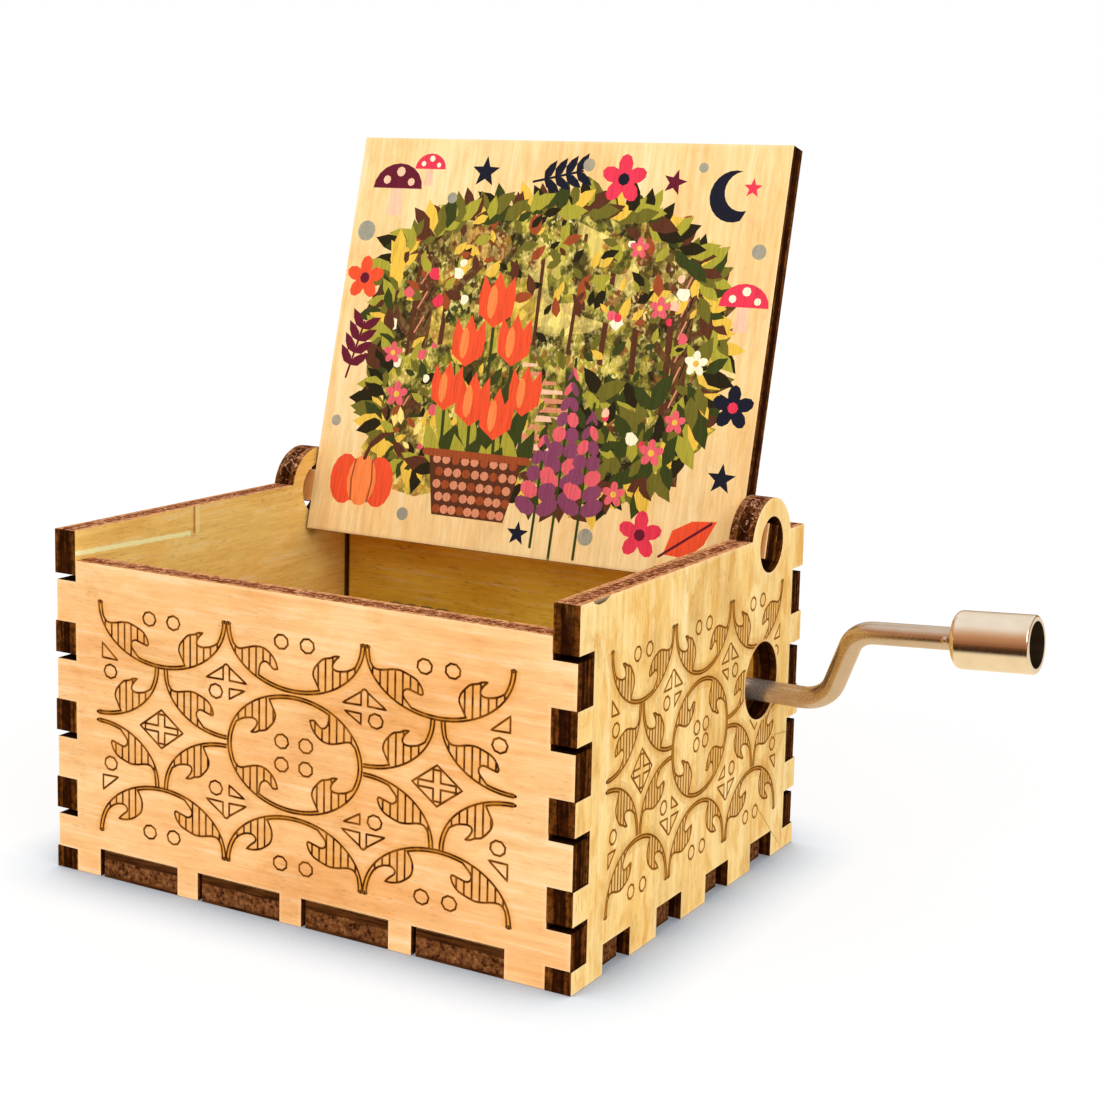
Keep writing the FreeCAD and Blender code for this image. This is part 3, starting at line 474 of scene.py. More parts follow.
class Ornament(Art):
    """A lattice of double arcs with hatched leaves, in the measures of a style."""

    def __init__(self, style):
        super().__init__()
        self.style = style
        self.smoke, self.ends = [], []

    def column(self, steps):
        return self.style.middle + steps * self.style.pitch

    def quarter(self, column, row, side, foot, leaf=None):
        """A double quarter arc with a leaf on its inner line. side and foot are -1 or 1."""
        u, v = self.column(column), self.style.rows[row]
        if leaf is None:
            leaf = LONG_LEAF if (side == foot) != self.style.mirrored else FULL_LEAF
        wide, high = self.style.radii
        wide *= self.style.reach.get(row, 1.0)
        gold = self.style.gold

        def put(points):
            return [(u + side * wide * a, v + foot * high * b) for a, b in points]

        runs = smooth(leaf[0])[:-1] + smooth(leaf[1])
        begin, end = angle_of(runs[0]), angle_of(runs[-1])
        first, last = (0, 90) if begin < end else (90, 0)
        self.lines.append(put(arc(OUTER, 0, 90)))
        self.lines.append(put(arc(INNER, first, begin)[:-1] + runs + arc(INNER, end, last)[1:]))
        body = put(runs + arc(OUTER, end, begin))
        for spread, cover in ((self.style.haze, HAZE), (self.style.haze / 2, SCORCHED)):
            band = put(arc(OUTER + spread, 0, 90) + arc(INNER - spread, 90, 0))
            self.smoke.append((band, (*gold, cover), 0.0))
        self.patch(body, (*gold, SCORCHED))
        for start, stop in ((first, begin), (end, last)):
            self.patch(put(arc(OUTER, start, stop) + arc(INNER, stop, start)), (*gold, TOASTED))
        if row in ("top", "bottom"):
            self.dwell(*put([(MIDLINE, 0.0)])[0])
        if abs(column) == 1.5:
            self.dwell(*put([(0.0, MIDLINE)])[0])
        self.hatching(body)

    def hatching(self, body):
        """Upright lines inside a leaf."""
        low, high = min(p[0] for p in body), max(p[0] for p in body)
        x = low + self.style.hatch * 0.7
        while x < high:
            heights = crossings(body, x)
            for bottom, top in zip(heights[::2], heights[1::2]):
                if top - bottom > SHORTEST_HATCH:
                    self.lines.append([(x, bottom + HATCH_GAP), (x, top - HATCH_GAP)])
            x += self.style.hatch

    def dwell(self, u, v):
        """Dark spot where the beam starts or stops."""
        self.ends.append((ellipse(u, v, 0.40, 0.22, 10), tint(44, 16, 2, 1.0), 0.0))

    def ring(self, u, v):
        self.closed([polar(u, v, u + v + pi * k / 4, *self.style.ring) for k in range(8)])

    def wedge(self, u, v, side, up, wide, high):
        """Right-angled triangle in one corner of a crossing."""
        near = u + side * CLEAR_U
        self.closed([(near, v + up * CLEAR_V), (u + side * (CLEAR_U + wide), v + up * 0.1),
                     (near, v + up * (CLEAR_V + high))])

    def peak(self, u, v, up, high):
        """Arch that joins the tips of two triangles."""
        tip = v + up * (CLEAR_V + high)
        rise = ((-CLEAR_U, 0.0), (-0.2, 0.22), (0.0, 0.3), (0.2, 0.22), (CLEAR_U, 0.0))
        self.lines.append([(u + a, tip + up * b) for a, b in rise])

    def diamond(self, u, v, wide, high):
        self.closed([(u - wide, v), (u, v + high), (u + wide, v), (u, v - high)])
        arm_x, arm_y, half_x, half_y = wide * 0.76, high * 0.76, wide * 0.15, high * 0.16
        cross = []
        for sx, sy in ((1, 1), (-1, 1), (-1, -1), (1, -1)):
            corner = [(u + sx * arm_x, v + sy * half_y), (u + sx * half_x, v + sy * half_y),
                      (u + sx * half_x, v + sy * arm_y)]
            cross += corner if sx == sy else corner[::-1]
        self.closed(cross)

    def lattice(self):
        """Three half ellipses above and below, one whole ellipse between two diamonds."""
        mirrored = self.style.mirrored
        for column in (-1, 0, 1):
            for side in (-1, 1):
                pointing = (side == -1) != mirrored
                self.quarter(column, "top", side, -1, ROUND_LEAF if pointing and column == 0 else None)
                self.quarter(column, "bottom", side, 1, LOW_LEAF if pointing else None)
        for column, side in ((-1.5, 1), (-0.5, -1), (0.5, 1), (1.5, -1)):
            self.quarter(column, "upper", side, -1)
            self.quarter(column, "lower", side, 1)
        for side in (-1, 1):
            for foot in (-1, 1):
                pointing = (side == foot) != mirrored
                self.quarter(0, "centre", side, foot, ROUND_LEAF if pointing else None)
        self.smoke.sort(key=lambda patch: patch[1][3])
        self.patches = self.smoke + self.patches + self.ends

    def crossing(self, column, row, up, ring_side):
        """Two triangles, joined at their tips, a third opposite, and a ring in the fourth corner."""
        u, v = self.column(column), self.style.rows[row]
        wide, high = self.style.crossing
        for side in (-1, 1):
            self.wedge(u, v, side, up, wide, high)
        self.peak(u, v, up, high)
        self.wedge(u, v - up * 0.55, -ring_side, -up, wide * 0.9, high * 0.8)
        self.ring(u + ring_side * 1.35, v - up * 1.2)

    def small_marks(self):
        """The rings, triangles and diamonds within the lattice."""
        style = self.style
        for column in (-1, 0, 1):
            for offset in (-style.pair_spread, style.pair_spread):
                for v in style.pair_levels:
                    self.ring(self.column(column) + offset, v)
        for u in style.four_across:
            for v in style.four_up:
                self.ring(u, v)
        for column, side in ((-0.5, -1), (0.5, 1)):
            self.crossing(column, "upper", 1, side)
            self.crossing(column, "lower", -1, side)
        for column, side in ((-1.5, 1), (1.5, -1)):
            u = self.column(column) + side * 0.1
            for v, up in zip(style.edge_levels, (1, -1)):
                self.wedge(u, v, side, up, *style.edge_wedge)
            for v in style.edge_ring_levels:
                self.ring(u + side * style.edge_ring, v)
        for column in (-1, 1):
            self.diamond(self.column(column) + style.diamond_shift, *style.diamond)


# In the styles, radii, ring, crossing and edge_wedge are (wide, high), diamond is (level, wide,
# high), and levels go from the top down.
FRONT_STYLE = SimpleNamespace(
    middle=-0.3, pitch=17.05, radii=(8.3, 6.0), mirrored=False, hatch=0.88,
    rows={"top": 30.1, "upper": 24.0, "centre": 17.75, "lower": 11.4, "bottom": 5.25},
    reach={"top": 1.022, "bottom": 1.022, "upper": 0.98, "lower": 0.98},
    gold=tint(222, 147, 40)[:3], haze=0.07, ring=(0.86, 0.75),
    pair_spread=1.6, pair_levels=(29.1, 6.2), four_across=(-1.8, 1.2), four_up=(18.9, 16.5),
    crossing=(2.2, 1.35), edge_levels=(24.0, 11.5), edge_wedge=(2.1, 1.6),
    edge_ring=1.5, edge_ring_levels=(22.75, 12.75),
    diamond_shift=0.0, diamond=(17.6, 2.85, 2.05),
)
SIDE_STYLE = SimpleNamespace(
    middle=0.3, pitch=13.5, radii=(6.6, 6.2), mirrored=True, hatch=0.62,
    rows={"top": 31.6, "upper": 25.2, "centre": 18.65, "lower": 12.05, "bottom": 5.6},
    reach={},
    gold=tint(192, 125, 10)[:3], haze=0.13, ring=(0.70, 0.74),
    pair_spread=1.25, pair_levels=(30.4, 6.6), four_across=(-0.6, 1.5), four_up=(19.8, 18.0),
    crossing=(1.7, 1.5), edge_levels=(25.2, 12.0), edge_wedge=(1.5, 1.5),
    edge_ring=1.3, edge_ring_levels=(23.8, 13.3),
    diamond_shift=0.3, diamond=(18.4, 2.2, 2.25),
)
CRACKS = (((15.5, 7.0), (22.0, 1.0)), ((19.6, 14.2), (23.0, 13.8)))
CHIP = [(-23.7, 37.25), (-23.5, 36.95), (-22.6, 36.72), (-21.4, 36.8), (-20.2, 37.25)]


def ornament(style, worn=False):
    """The carved ornament of a wall; the worn one has two hairline cracks and a chipped top corner."""
    art = Ornament(style)
    art.lattice()
    art.small_marks()
    if worn:
        for crack in CRACKS:
            art.patch(around(list(crack), 0.07), tint(150, 104, 52, 0.55))
        art.patch(CHIP, tint(60, 28, 8, 0.96))
    return art


# The print is a garden in autumn with small motifs round it. Its patches are in millimetres from the
# middle of the panel's foot. Angles are in radians, and a box is left, right, low, high.

# inks
OLIVE, MOSS, FERN = tint(112, 104, 34, 0.98), tint(58, 66, 22, 0.98), tint(170, 160, 52, 0.98)
GOLD, STRAW, RUST = tint(236, 190, 70, 0.98), tint(255, 226, 128, 0.95), tint(160, 74, 36, 0.98)
BARK, TERRACOTTA, ROSE = tint(92, 50, 28, 0.98), tint(222, 142, 104, 0.98), tint(232, 96, 104, 0.98)
CORAL, FLAME, MAUVE = tint(240, 82, 44, 0.98), tint(255, 136, 70, 0.98), tint(138, 66, 96, 0.98)
NAVY, WINE, PINK = tint(26, 28, 44, 0.98), tint(104, 24, 44, 0.98), tint(232, 56, 80, 0.98)
ASH, BLUSH, CREAM = tint(150, 148, 132, 0.75), tint(252, 196, 160, 0.95), tint(255, 240, 204, 0.98)
SHADE = tint(40, 34, 14, 0.98)

OVAL_MIDDLE, OVAL_WIDE, OVAL_HIGH = 24.5, 23.0, 17.6    # the picture's rough oval, and its radii

# outlines of unit size
LEAF = ((0, 0), (0.3, 0.5), (0.65, 0.42), (1, 0), (0.65, -0.42), (0.3, -0.5))
CUP = ((-0.5, 0.55), (-0.46, 0.1), (0, -0.22), (0.46, 0.1), (0.5, 0.55), (0.42, 1.05), (0.2, 0.72),
       (0, 1.15), (-0.2, 0.72), (-0.42, 1.05))
STEM = ((-0.18, 0.5), (-0.26, -0.5), (0.26, -0.5), (0.18, 0.5))
TRUNK = ((-1, 0), (-0.55, 0.4), (-0.5, 1), (0.5, 1), (0.5, 0.4), (0.9, 0))
BASKET = ((-0.38, 0), (0.38, 0), (0.5, 1), (-0.5, 1))

DICE = random.Random(41)
PRINTED = []    # its patches, from the lowest layer up


def shape(loop, ink, leafy=0.0):
    PRINTED.append((loop, ink, leafy))


def blob(u, v, wide, high, ink, leafy=0.0, wobble=0.12, sides=16):
    phase = [DICE.uniform(0, 6.28) for k in range(3)]
    loop = []
    for k in range(sides):
        angle = 2 * pi * k / sides
        swell = 1 + wobble * sum(sin((n + 2) * angle + phase[n]) for n in range(3)) / 2
        loop.append(polar(u, v, angle, wide * swell, high * swell))
    shape(loop, ink, leafy)


def leaf(u, v, length, wide, turn, ink):
    """Pointed leaf from its stalk."""
    shape(placed(LEAF, u, v, length, wide, turn), ink)


def stroke(points, width, ink, leafy=0.0):
    shape(around(points, width / 2), ink, leafy)


def star(u, v, size, ink, turn=0.3):
    reaches = (size, size * 0.42) * 5
    shape([polar(u, v, turn + pi * k / 5, reach) for k, reach in enumerate(reaches)], ink)


def blossom(u, v, size, petal, eye):
    for k in range(5):
        angle = 0.3 + 2 * pi * k / 5
        middle = polar(u, v, angle, size * 0.6)
        shape(ellipse(*middle, size * 0.48, size * 0.34, 9, angle), petal)
    shape(ellipse(u, v, size * 0.27, size * 0.27, 8), eye)


def toadstool(u, v, size, cap, spots):
    shape(placed(STEM, u, v, size), BLUSH)
    top = v + 0.3 * size
    shape([polar(u, top, pi * k / 10, size * 0.85, size * 0.75) for k in range(11)], cap)
    for a, b, r in ((-0.4, 0.55, 0.13), (0.05, 0.8, 0.15), (0.45, 0.5, 0.12)):
        shape(ellipse(u + a * size, v + b * size, r * size, r * size, 8), spots)


def tulip(u, v, height, size, ink, light):
    stroke([(u, v), (u + 0.3, v + height * 0.5), (u, v + height)], 0.42, MOSS)
    for side, green in ((-1, MOSS), (1, FERN)):
        leaf(u, v, height * 0.75, size * 0.5, pi / 2 + side * 0.35, green)
    top = v + height
    shape(placed(CUP, u, top, size), ink)
    shape(ellipse(u - 0.12 * size, top + 0.4 * size, 0.13 * size, 0.42 * size, 9), light)


def spire(u, v, height, size, ink, light):
    """Upright flower head that narrows to its tip."""
    stroke([(u, v - height * 0.5), (u, v + height)], 0.35, MOSS)
    rows = int(height / (size * 0.42))
    for k in range(rows):
        share = k / rows
        reach = size * 0.5 * (1.05 - share)
        for side in (-1, 1):
            bell = ellipse(u + side * reach * 0.7, v + height * share, reach * 0.75, size * 0.24, 8,
                           side * 0.5)
            shape(bell, ink if (k + side) % 3 else light)


def sprig(u, v, length, turn, ink):
    stroke([(u, v), polar(u, v, turn, length)], 0.3, ink)
    for k in range(1, 5):
        stalk = polar(u, v, turn, length * k / 4.6)
        for side in (-1, 1):
            leaf(*stalk, length * 0.42, length * 0.17, turn + side * 0.8, ink)


def pumpkin(u, v, size):
    for offset, ink in ((-0.5, CORAL), (0.5, CORAL), (0.0, FLAME)):
        shape(ellipse(u + offset * size, v, 0.42 * size, 0.62 * size, 14), ink)
    for offset in (-0.24, 0.24):
        crease = ((offset, -0.5), (offset * 1.25, 0), (offset, 0.5))
        stroke(placed(crease, u, v, size), 0.22, RUST)
    stroke(placed(((0, 0.55), (0.15, 0.95)), u, v, size), 0.5, BARK)


def leaves(count, box, size, inks):
    """Scattered leaves."""
    left, right, low, high = box
    for k in range(count):
        u, v = DICE.uniform(left, right), DICE.uniform(low, high)
        if inside(u, v):
            length = size * DICE.uniform(0.6, 1.3)
            leaf(u, v, length, length * 0.45, DICE.uniform(0.2, 2.9), DICE.choice(inks))


def inside(u, v):
    return abs(u / OVAL_WIDE) ** 3 + abs((v - OVAL_MIDDLE) / OVAL_HIGH) ** 3 < 1


def garden():
    edge = []
    for k in range(72):
        angle = 2 * pi * k / 72
        c, s = cos(angle), sin(angle)
        swell = 0.97 + 0.03 * sin(5 * angle + 1) + 0.02 * sin(13 * angle)
        reach = swell / (abs(c) ** 3 + abs(s) ** 3) ** (1 / 3)
        edge.append(polar(0, OVAL_MIDDLE, angle, OVAL_WIDE * reach, OVAL_HIGH * reach))
    shape(edge, OLIVE, 1.0)
    blob(2, 33, 12, 7, STRAW, 0.6)
    blob(-8, 28, 8, 5, GOLD, 0.7)
    for k in range(9):
        u = -18 + 4.4 * k
        slant = DICE.uniform(-0.8, 0.8)
        stroke([(u, 18), (u + slant, 38)], DICE.uniform(0.4, 0.9), BARK)
    for k in range(24):
        u = DICE.uniform(-20, 20)
        v = DICE.uniform(28, 39) - abs(u) * 0.05
        size = DICE.uniform(2.0, 3.6)
        blob(u, v, size, size * 0.9, DICE.choice((OLIVE, FERN, GOLD, RUST, MOSS)), 0.95)
    trunk(-16.5, 9, 30, 2.5)
    trunk(18.6, 10, 26, 1.9)
    blob(-13.5, 36.6, 5.0, 2.6, BARK, 0.6)
    blob(-9.0, 36.4, 3.4, 2.2, RUST, 0.6)
    blob(15.0, 35.0, 3.6, 2.8, BARK, 0.6)
    leaves(190, (-23, 23, 28, 43), 2.3, (SHADE, FERN, GOLD, RUST, BARK, OLIVE))
    blob(-2, 20, 19, 4.5, FERN, 0.95)
    path()
    leaves(150, (-23, 23, 9, 26), 2.1, (SHADE, MOSS, FERN, OLIVE, GOLD))
    blob(13, 12.5, 7.5, 4.2, SHADE, 0.6)
    blob(-14, 10.5, 8.5, 4.5, GOLD, 0.9)
    leaves(130, (6, 23, 7, 20), 3.6, (SHADE, MOSS, MOSS, OLIVE, FERN))
    leaves(70, (-23, -8, 7, 16), 2.0, (GOLD, STRAW, SHADE, RUST))
    for k in range(60):
        u, v = DICE.uniform(-23, 23), DICE.uniform(9, 40)
        if inside(u, v) and abs(u) > 8:
            size = DICE.uniform(0.4, 0.85)
            ink = DICE.choice((ROSE, CREAM, PINK, CREAM, BLUSH))
            blob(u, v, size, size, ink, 0.0, 0.2, 8)
    fringe(edge)


def fringe(edge):
    """Leaves and twigs that break up the picture's outline."""
    for u, v in edge:
        outward = atan2(v - OVAL_MIDDLE, u)
        for turn in (-1.2, -0.6, 0.0, 0.6, 1.2):
            length = DICE.uniform(2.0, 4.6)
            inset = DICE.uniform(0.2, 1.8)
            stalk = polar(u, v, outward, -inset)
            leaf(*stalk, length, length * 0.45, outward + turn + DICE.uniform(-0.3, 0.3),
                 DICE.choice((OLIVE, SHADE, FERN, GOLD, BARK, MOSS)))


def trunk(u, foot, height, width):
    shape(placed(TRUNK, u, foot, width, height), BARK, 0.1)
    for side, share, reach in ((-1, 0.5, 4.5), (1, 0.62, 7.0), (-1, 0.8, 4.0)):
        bough = ((0, 0), (side * 0.5, 0.35), (side, 0.9))
        stroke(placed(bough, u, foot + height * share, reach), width * 0.45, BARK, 0.1)
    for k in range(9):
        lift = foot + height * (0.04 + 0.1 * k)
        stroke([(u - width * 0.35, lift), (u + width * 0.05, lift + 2.0)], 0.2, TERRACOTTA)
        stroke([(u + width * 0.1, lift + 0.8), (u + width * 0.35, lift + 2.6)], 0.18, SHADE)


def path():
    """Winding path of flagstones that narrows as it goes."""
    stones = 15
    for k in range(stones):
        share = k / stones
        half = 3.4 * (1 - share) ** 1.2 + 0.5
        u = -3.5 + 7.0 * sin(share * 3.4)
        v = 8.0 + 17.0 * share ** 0.85
        thick = 0.95 * (1 - share * 0.6)
        stone = [(u - half, v), (u + half, v + 0.2), (u + half * 0.9, v + thick),
                 (u - half * 0.9, v + thick)]
        shape(stone, TERRACOTTA if k % 3 else BLUSH)


def basket(u, v, wide, high):
    """Woven basket, wider at its rim."""
    shape(placed(BASKET, u, v, wide, high), BARK)
    rows, columns = 5, 9
    for row in range(rows):
        spread = 0.80 + 0.2 * row / rows
        for column in range(columns):
            x = u + (column + 0.5 - columns / 2 + 0.25 * (row % 2)) * wide * 0.95 * spread / columns
            y = v + (row + 0.5) * high / rows
            ink = TERRACOTTA if (row + column) % 3 else RUST
            shape(ellipse(x, y, wide * 0.045, high * 0.075, 8), ink)
    stroke([(u - wide * 0.54, v + high), (u + wide * 0.54, v + high)], 0.9, RUST)


def flowers():
    for u, v, height, size in ((-9.5, 9.5, 13.0, 4.6), (-3.2, 9.5, 13.5, 4.6),
                               (-6.4, 10.0, 17.5, 5.0), (-11.6, 9.0, 8.0, 4.4),
                               (-0.8, 9.0, 8.2, 4.4), (-7.8, 8.5, 7.0, 4.8),
                               (-4.2, 8.5, 5.6, 4.6)):
        tulip(u, v, height, size, CORAL, FLAME)
    for u, v, height in ((5.4, 7.5, 16.0), (8.6, 6.5, 12.0), (2.8, 6.0, 9.5)):
        spire(u, v, height, 4.0, MAUVE, ROSE)
    basket(-6.2, 3.6, 13.0, 7.4)
    for u, v, size in ((16.6, 13.5, 1.5), (19.0, 17.2, 1.3), (-18.6, 17.5, 1.5),
                       (-20.0, 22.5, 1.3), (20.6, 24.0, 1.4), (12.6, 8.4, 1.4),
                       (15.2, 30.0, 1.3), (11.5, 36.8, 1.2)):
        blossom(u, v, size, DICE.choice((ROSE, CREAM, PINK)), GOLD)


def small_motifs():
    toadstool(-23.0, 41.6, 4.2, WINE, BLUSH)
    toadstool(-18.6, 44.6, 2.6, PINK, CREAM)
    star(-10.6, 45.2, 2.0, NAVY)
    sprig(-3.8, 44.2, 6.6, 0.22, NAVY)
    blossom(8.2, 44.8, 2.8, PINK, NAVY)
    star(14.8, 44.6, 1.6, WINE, 0.1)
    outer = [polar(22.4, 43.2, 1.3 + 3.8 * k / 14, 3.0) for k in range(15)]
    inner = [polar(23.5, 43.8, 5.0 - 3.2 * k / 12, 2.3) for k in range(13)]
    shape(outer + inner, NAVY)
    star(24.6, 44.2, 1.2, PINK)
    blossom(-25.8, 31.5, 2.6, CORAL, WINE)
    sprig(-26.4, 19.0, 7.2, 1.35, WINE)
    toadstool(25.4, 29.6, 3.6, PINK, CREAM)
    blossom(25.8, 19.4, 2.4, NAVY, PINK)
    pumpkin(-21.8, 6.6, 5.0)
    star(0.9, 2.6, 1.5, NAVY)
    blossom(16.6, 4.2, 2.6, PINK, WINE)
    leaf(19.8, 2.4, 7.4, 3.6, 0.62, CORAL)
    stroke([(19.3, 2.1), (25.2, 6.4)], 0.3, WINE)
    star(25.6, 11.4, 1.8, NAVY)
    for u, v, size in ((-26.6, 37.4, 1.3), (-14.8, 41.9, 0.7), (3.4, 46.4, 0.8), (18.2, 46.4, 0.6),
                       (26.4, 37.0, 0.9), (-26.8, 13.6, 0.7), (9.8, 3.2, 1.0), (-15.2, 3.2, 0.8)):
        shape(ellipse(u, v, size, size, 12), ASH)


TAB_DEEP, TAB_INSET = 3.2, 0.1    # how far the painted bounce light on a tab reaches in, and its gap to the edge


def lid_print(loops):
    """The print, and the tabs beside it tinted orange as painted bounce light."""
    art = Art()
    foot, reach = min(v for u, v in loops[0]), max(u for u, v in loops[0])
    tab = [v for u, v in loops[0] if abs(u) > reach - 1]
    low, high = min(tab), max(tab)
    for side in (-1, 1):
        near, far = side * (reach - TAB_DEEP), side * (reach - TAB_INSET)
        # orange painted bounce light on the tab's face
        art.patch([(near, low), (far, low), (far, high), (near, high)], tint(244, 158, 84, 0.95))
    garden()
    flowers()
    small_motifs()
    for loop, ink, leafy in PRINTED:
        art.patch([(u, v + foot) for u, v in loop], ink, leafy)
    return art


# ------------------------------------------------------------------ panels

CHAMFER = 0.07    # the panel's sharp rim is worn this far back
HIGHLIGHT_BAND = 0.45        # its face carries a pale painted highlight this far in from the edge
FRONT, CUT, REAR = 0, 1, 2    # the materials of a panel's faces
TRACE_STEP = 0.05     # between the points that distances are measured to
HOLE_MARGIN = 0.35    # what is carved keeps this far from a round hole
SHORTEST_RUN = 6      # points in what is left of a line beside a hole
SPAN, RUN_SPAN = 0.55, 0.4    # the longest steps along a line, before and after the holes are left out
ONE_POINT = 1e-5      # points closer than this count as one
SHARP = 0.6           # edges that turn by more stay sharp, in radians


def chains(following):
    """Closed loops in a table of what follows what."""
    found = []
    while following:
        start = min(following)
        loop, at = [start], following.pop(start)
        while at != start:
            loop.append(at)
            at = following.pop(at)
        found.append(loop)
    return found


def area(loop):
    return sum(a[0] * b[1] - b[0] * a[1] for a, b in zip(loop, loop[1:] + loop[:1])) / 2


def offset_line(points, distance, closed):
    """The points moved to the left of their direction, corners mitred."""
    count = len(points)
    moved = []
    for k, point in enumerate(points):
        before = points[k - 1] if closed or k > 0 else None
        after = points[(k + 1) % count] if closed or k < count - 1 else None
        normals = []
        for a, b in ((before, point), (point, after)):
            if a is not None and b is not None:
                du, dv = b[0] - a[0], b[1] - a[1]
                length = hypot(du, dv) or 1
                normals.append((-dv / length, du / length))
        nu = sum(n[0] for n in normals) / len(normals)
        nv = sum(n[1] for n in normals) / len(normals)
        spread = max(nu * nu + nv * nv, 0.3)
        moved.append((point[0] + distance * nu / spread, point[1] + distance * nv / spread))
    return moved


def around(line, distance):
    """Closed outline at a distance round an open line, its ends rounded."""
    loop = []
    for points in (line, line[::-1]):
        loop += offset_line(points, -distance, False)
        (au, av), (bu, bv) = points[-2], points[-1]
        heading = atan2(bv - av, bu - au)
        for turn in (-45, 0, 45):
            loop.append(polar(bu, bv, heading + radians(turn), distance))
    return loop


def even(line, longest=SPAN):
    """The line with its long spans divided."""
    points = []
    for (au, av), (bu, bv) in zip(line, line[1:]):
        parts = max(1, ceil(hypot(bu - au, bv - av) / longest))
        points += [(au + (bu - au) * k / parts, av + (bv - av) * k / parts) for k in range(parts)]
    return points + [line[-1]]


def trace_tree(lines):
    """Search tree over points close together along the lines."""
    points = [p for line in lines for p in even(line, TRACE_STEP)]
    tree = KDTree(len(points))
    for k, (u, v) in enumerate(points):
        tree.insert((u, v, 0), k)
    tree.balance()
    return tree


def kept_out(lines, holes):
    """The lines without what would run into a round hole, and without short leftovers beside it."""
    spots = []
    for hole in holes:
        u = sum(p[0] for p in hole) / len(hole)
        v = sum(p[1] for p in hole) / len(hole)
        spots.append((u, v, max(hypot(p[0] - u, p[1] - v) for p in hole) + HOLE_MARGIN))
    pieces = []
    for line in lines:
        runs = [[]]
        for point in even(line, RUN_SPAN):
            if any(hypot(point[0] - u, point[1] - v) < reach for u, v, reach in spots):
                runs.append([])
            else:
                runs[-1].append(point)
        fewest = 2 if len(runs) == 1 else SHORTEST_RUN
        pieces += [run for run in runs if len(run) >= fewest]
    return pieces


def topmost(patches, points, triangles):
    """The number of the last patch that covers each triangle's middle, or -1."""
    corners = numpy.array([tuple(p) for p in points])
    u, v = corners[numpy.array(triangles)].mean(axis=1).T
    top = numpy.full(len(triangles), -1)
    for number, (loop, ink, leafy) in enumerate(patches):
        low_u, low_v = numpy.min(loop, axis=0)
        high_u, high_v = numpy.max(loop, axis=0)
        near = numpy.nonzero((u > low_u) & (u < high_u) & (v > low_v) & (v < high_v))[0]
        covered = numpy.zeros(len(near), bool)
        for (au, av), (bu, bv) in zip(loop, loop[1:] + loop[:1]):
            if av != bv:
                spans = (av > v[near]) != (bv > v[near])
                covered ^= spans & (u[near] < au + (bu - au) * (v[near] - av) / (bv - av))
        top[near[covered]] = number
    return top


class Drawing:
    """Points, edges and closed loops given to the triangulation."""

    def __init__(self):
        self.points, self.edges, self.faces = [], [], []

    def take(self, loop):
        start = len(self.points)
        self.points += [Vector(p) for p in loop]
        return list(range(start, len(self.points)))

    def add(self, loop):
        ids = self.take(loop)
        self.edges += list(zip(ids, ids[1:] + ids[:1]))

    def add_face(self, loop):
        """A loop whose inside counts; a clockwise one is turned round."""
        ids = self.take(loop)
        self.faces.append(ids if area(loop) > 0 else ids[::-1])

    def add_open(self, line):
        ids = self.take(line)
        self.edges += list(zip(ids, ids[1:]))

    def triangulate(self):
        """Points, triangles, the loops that each triangle lies in, and each point's first source."""
        made = delaunay_2d_cdt(self.points, self.edges, self.faces, 0, ONE_POINT)
        return made[0], made[2], made[5], [source[0] if source else None for source in made[3]]


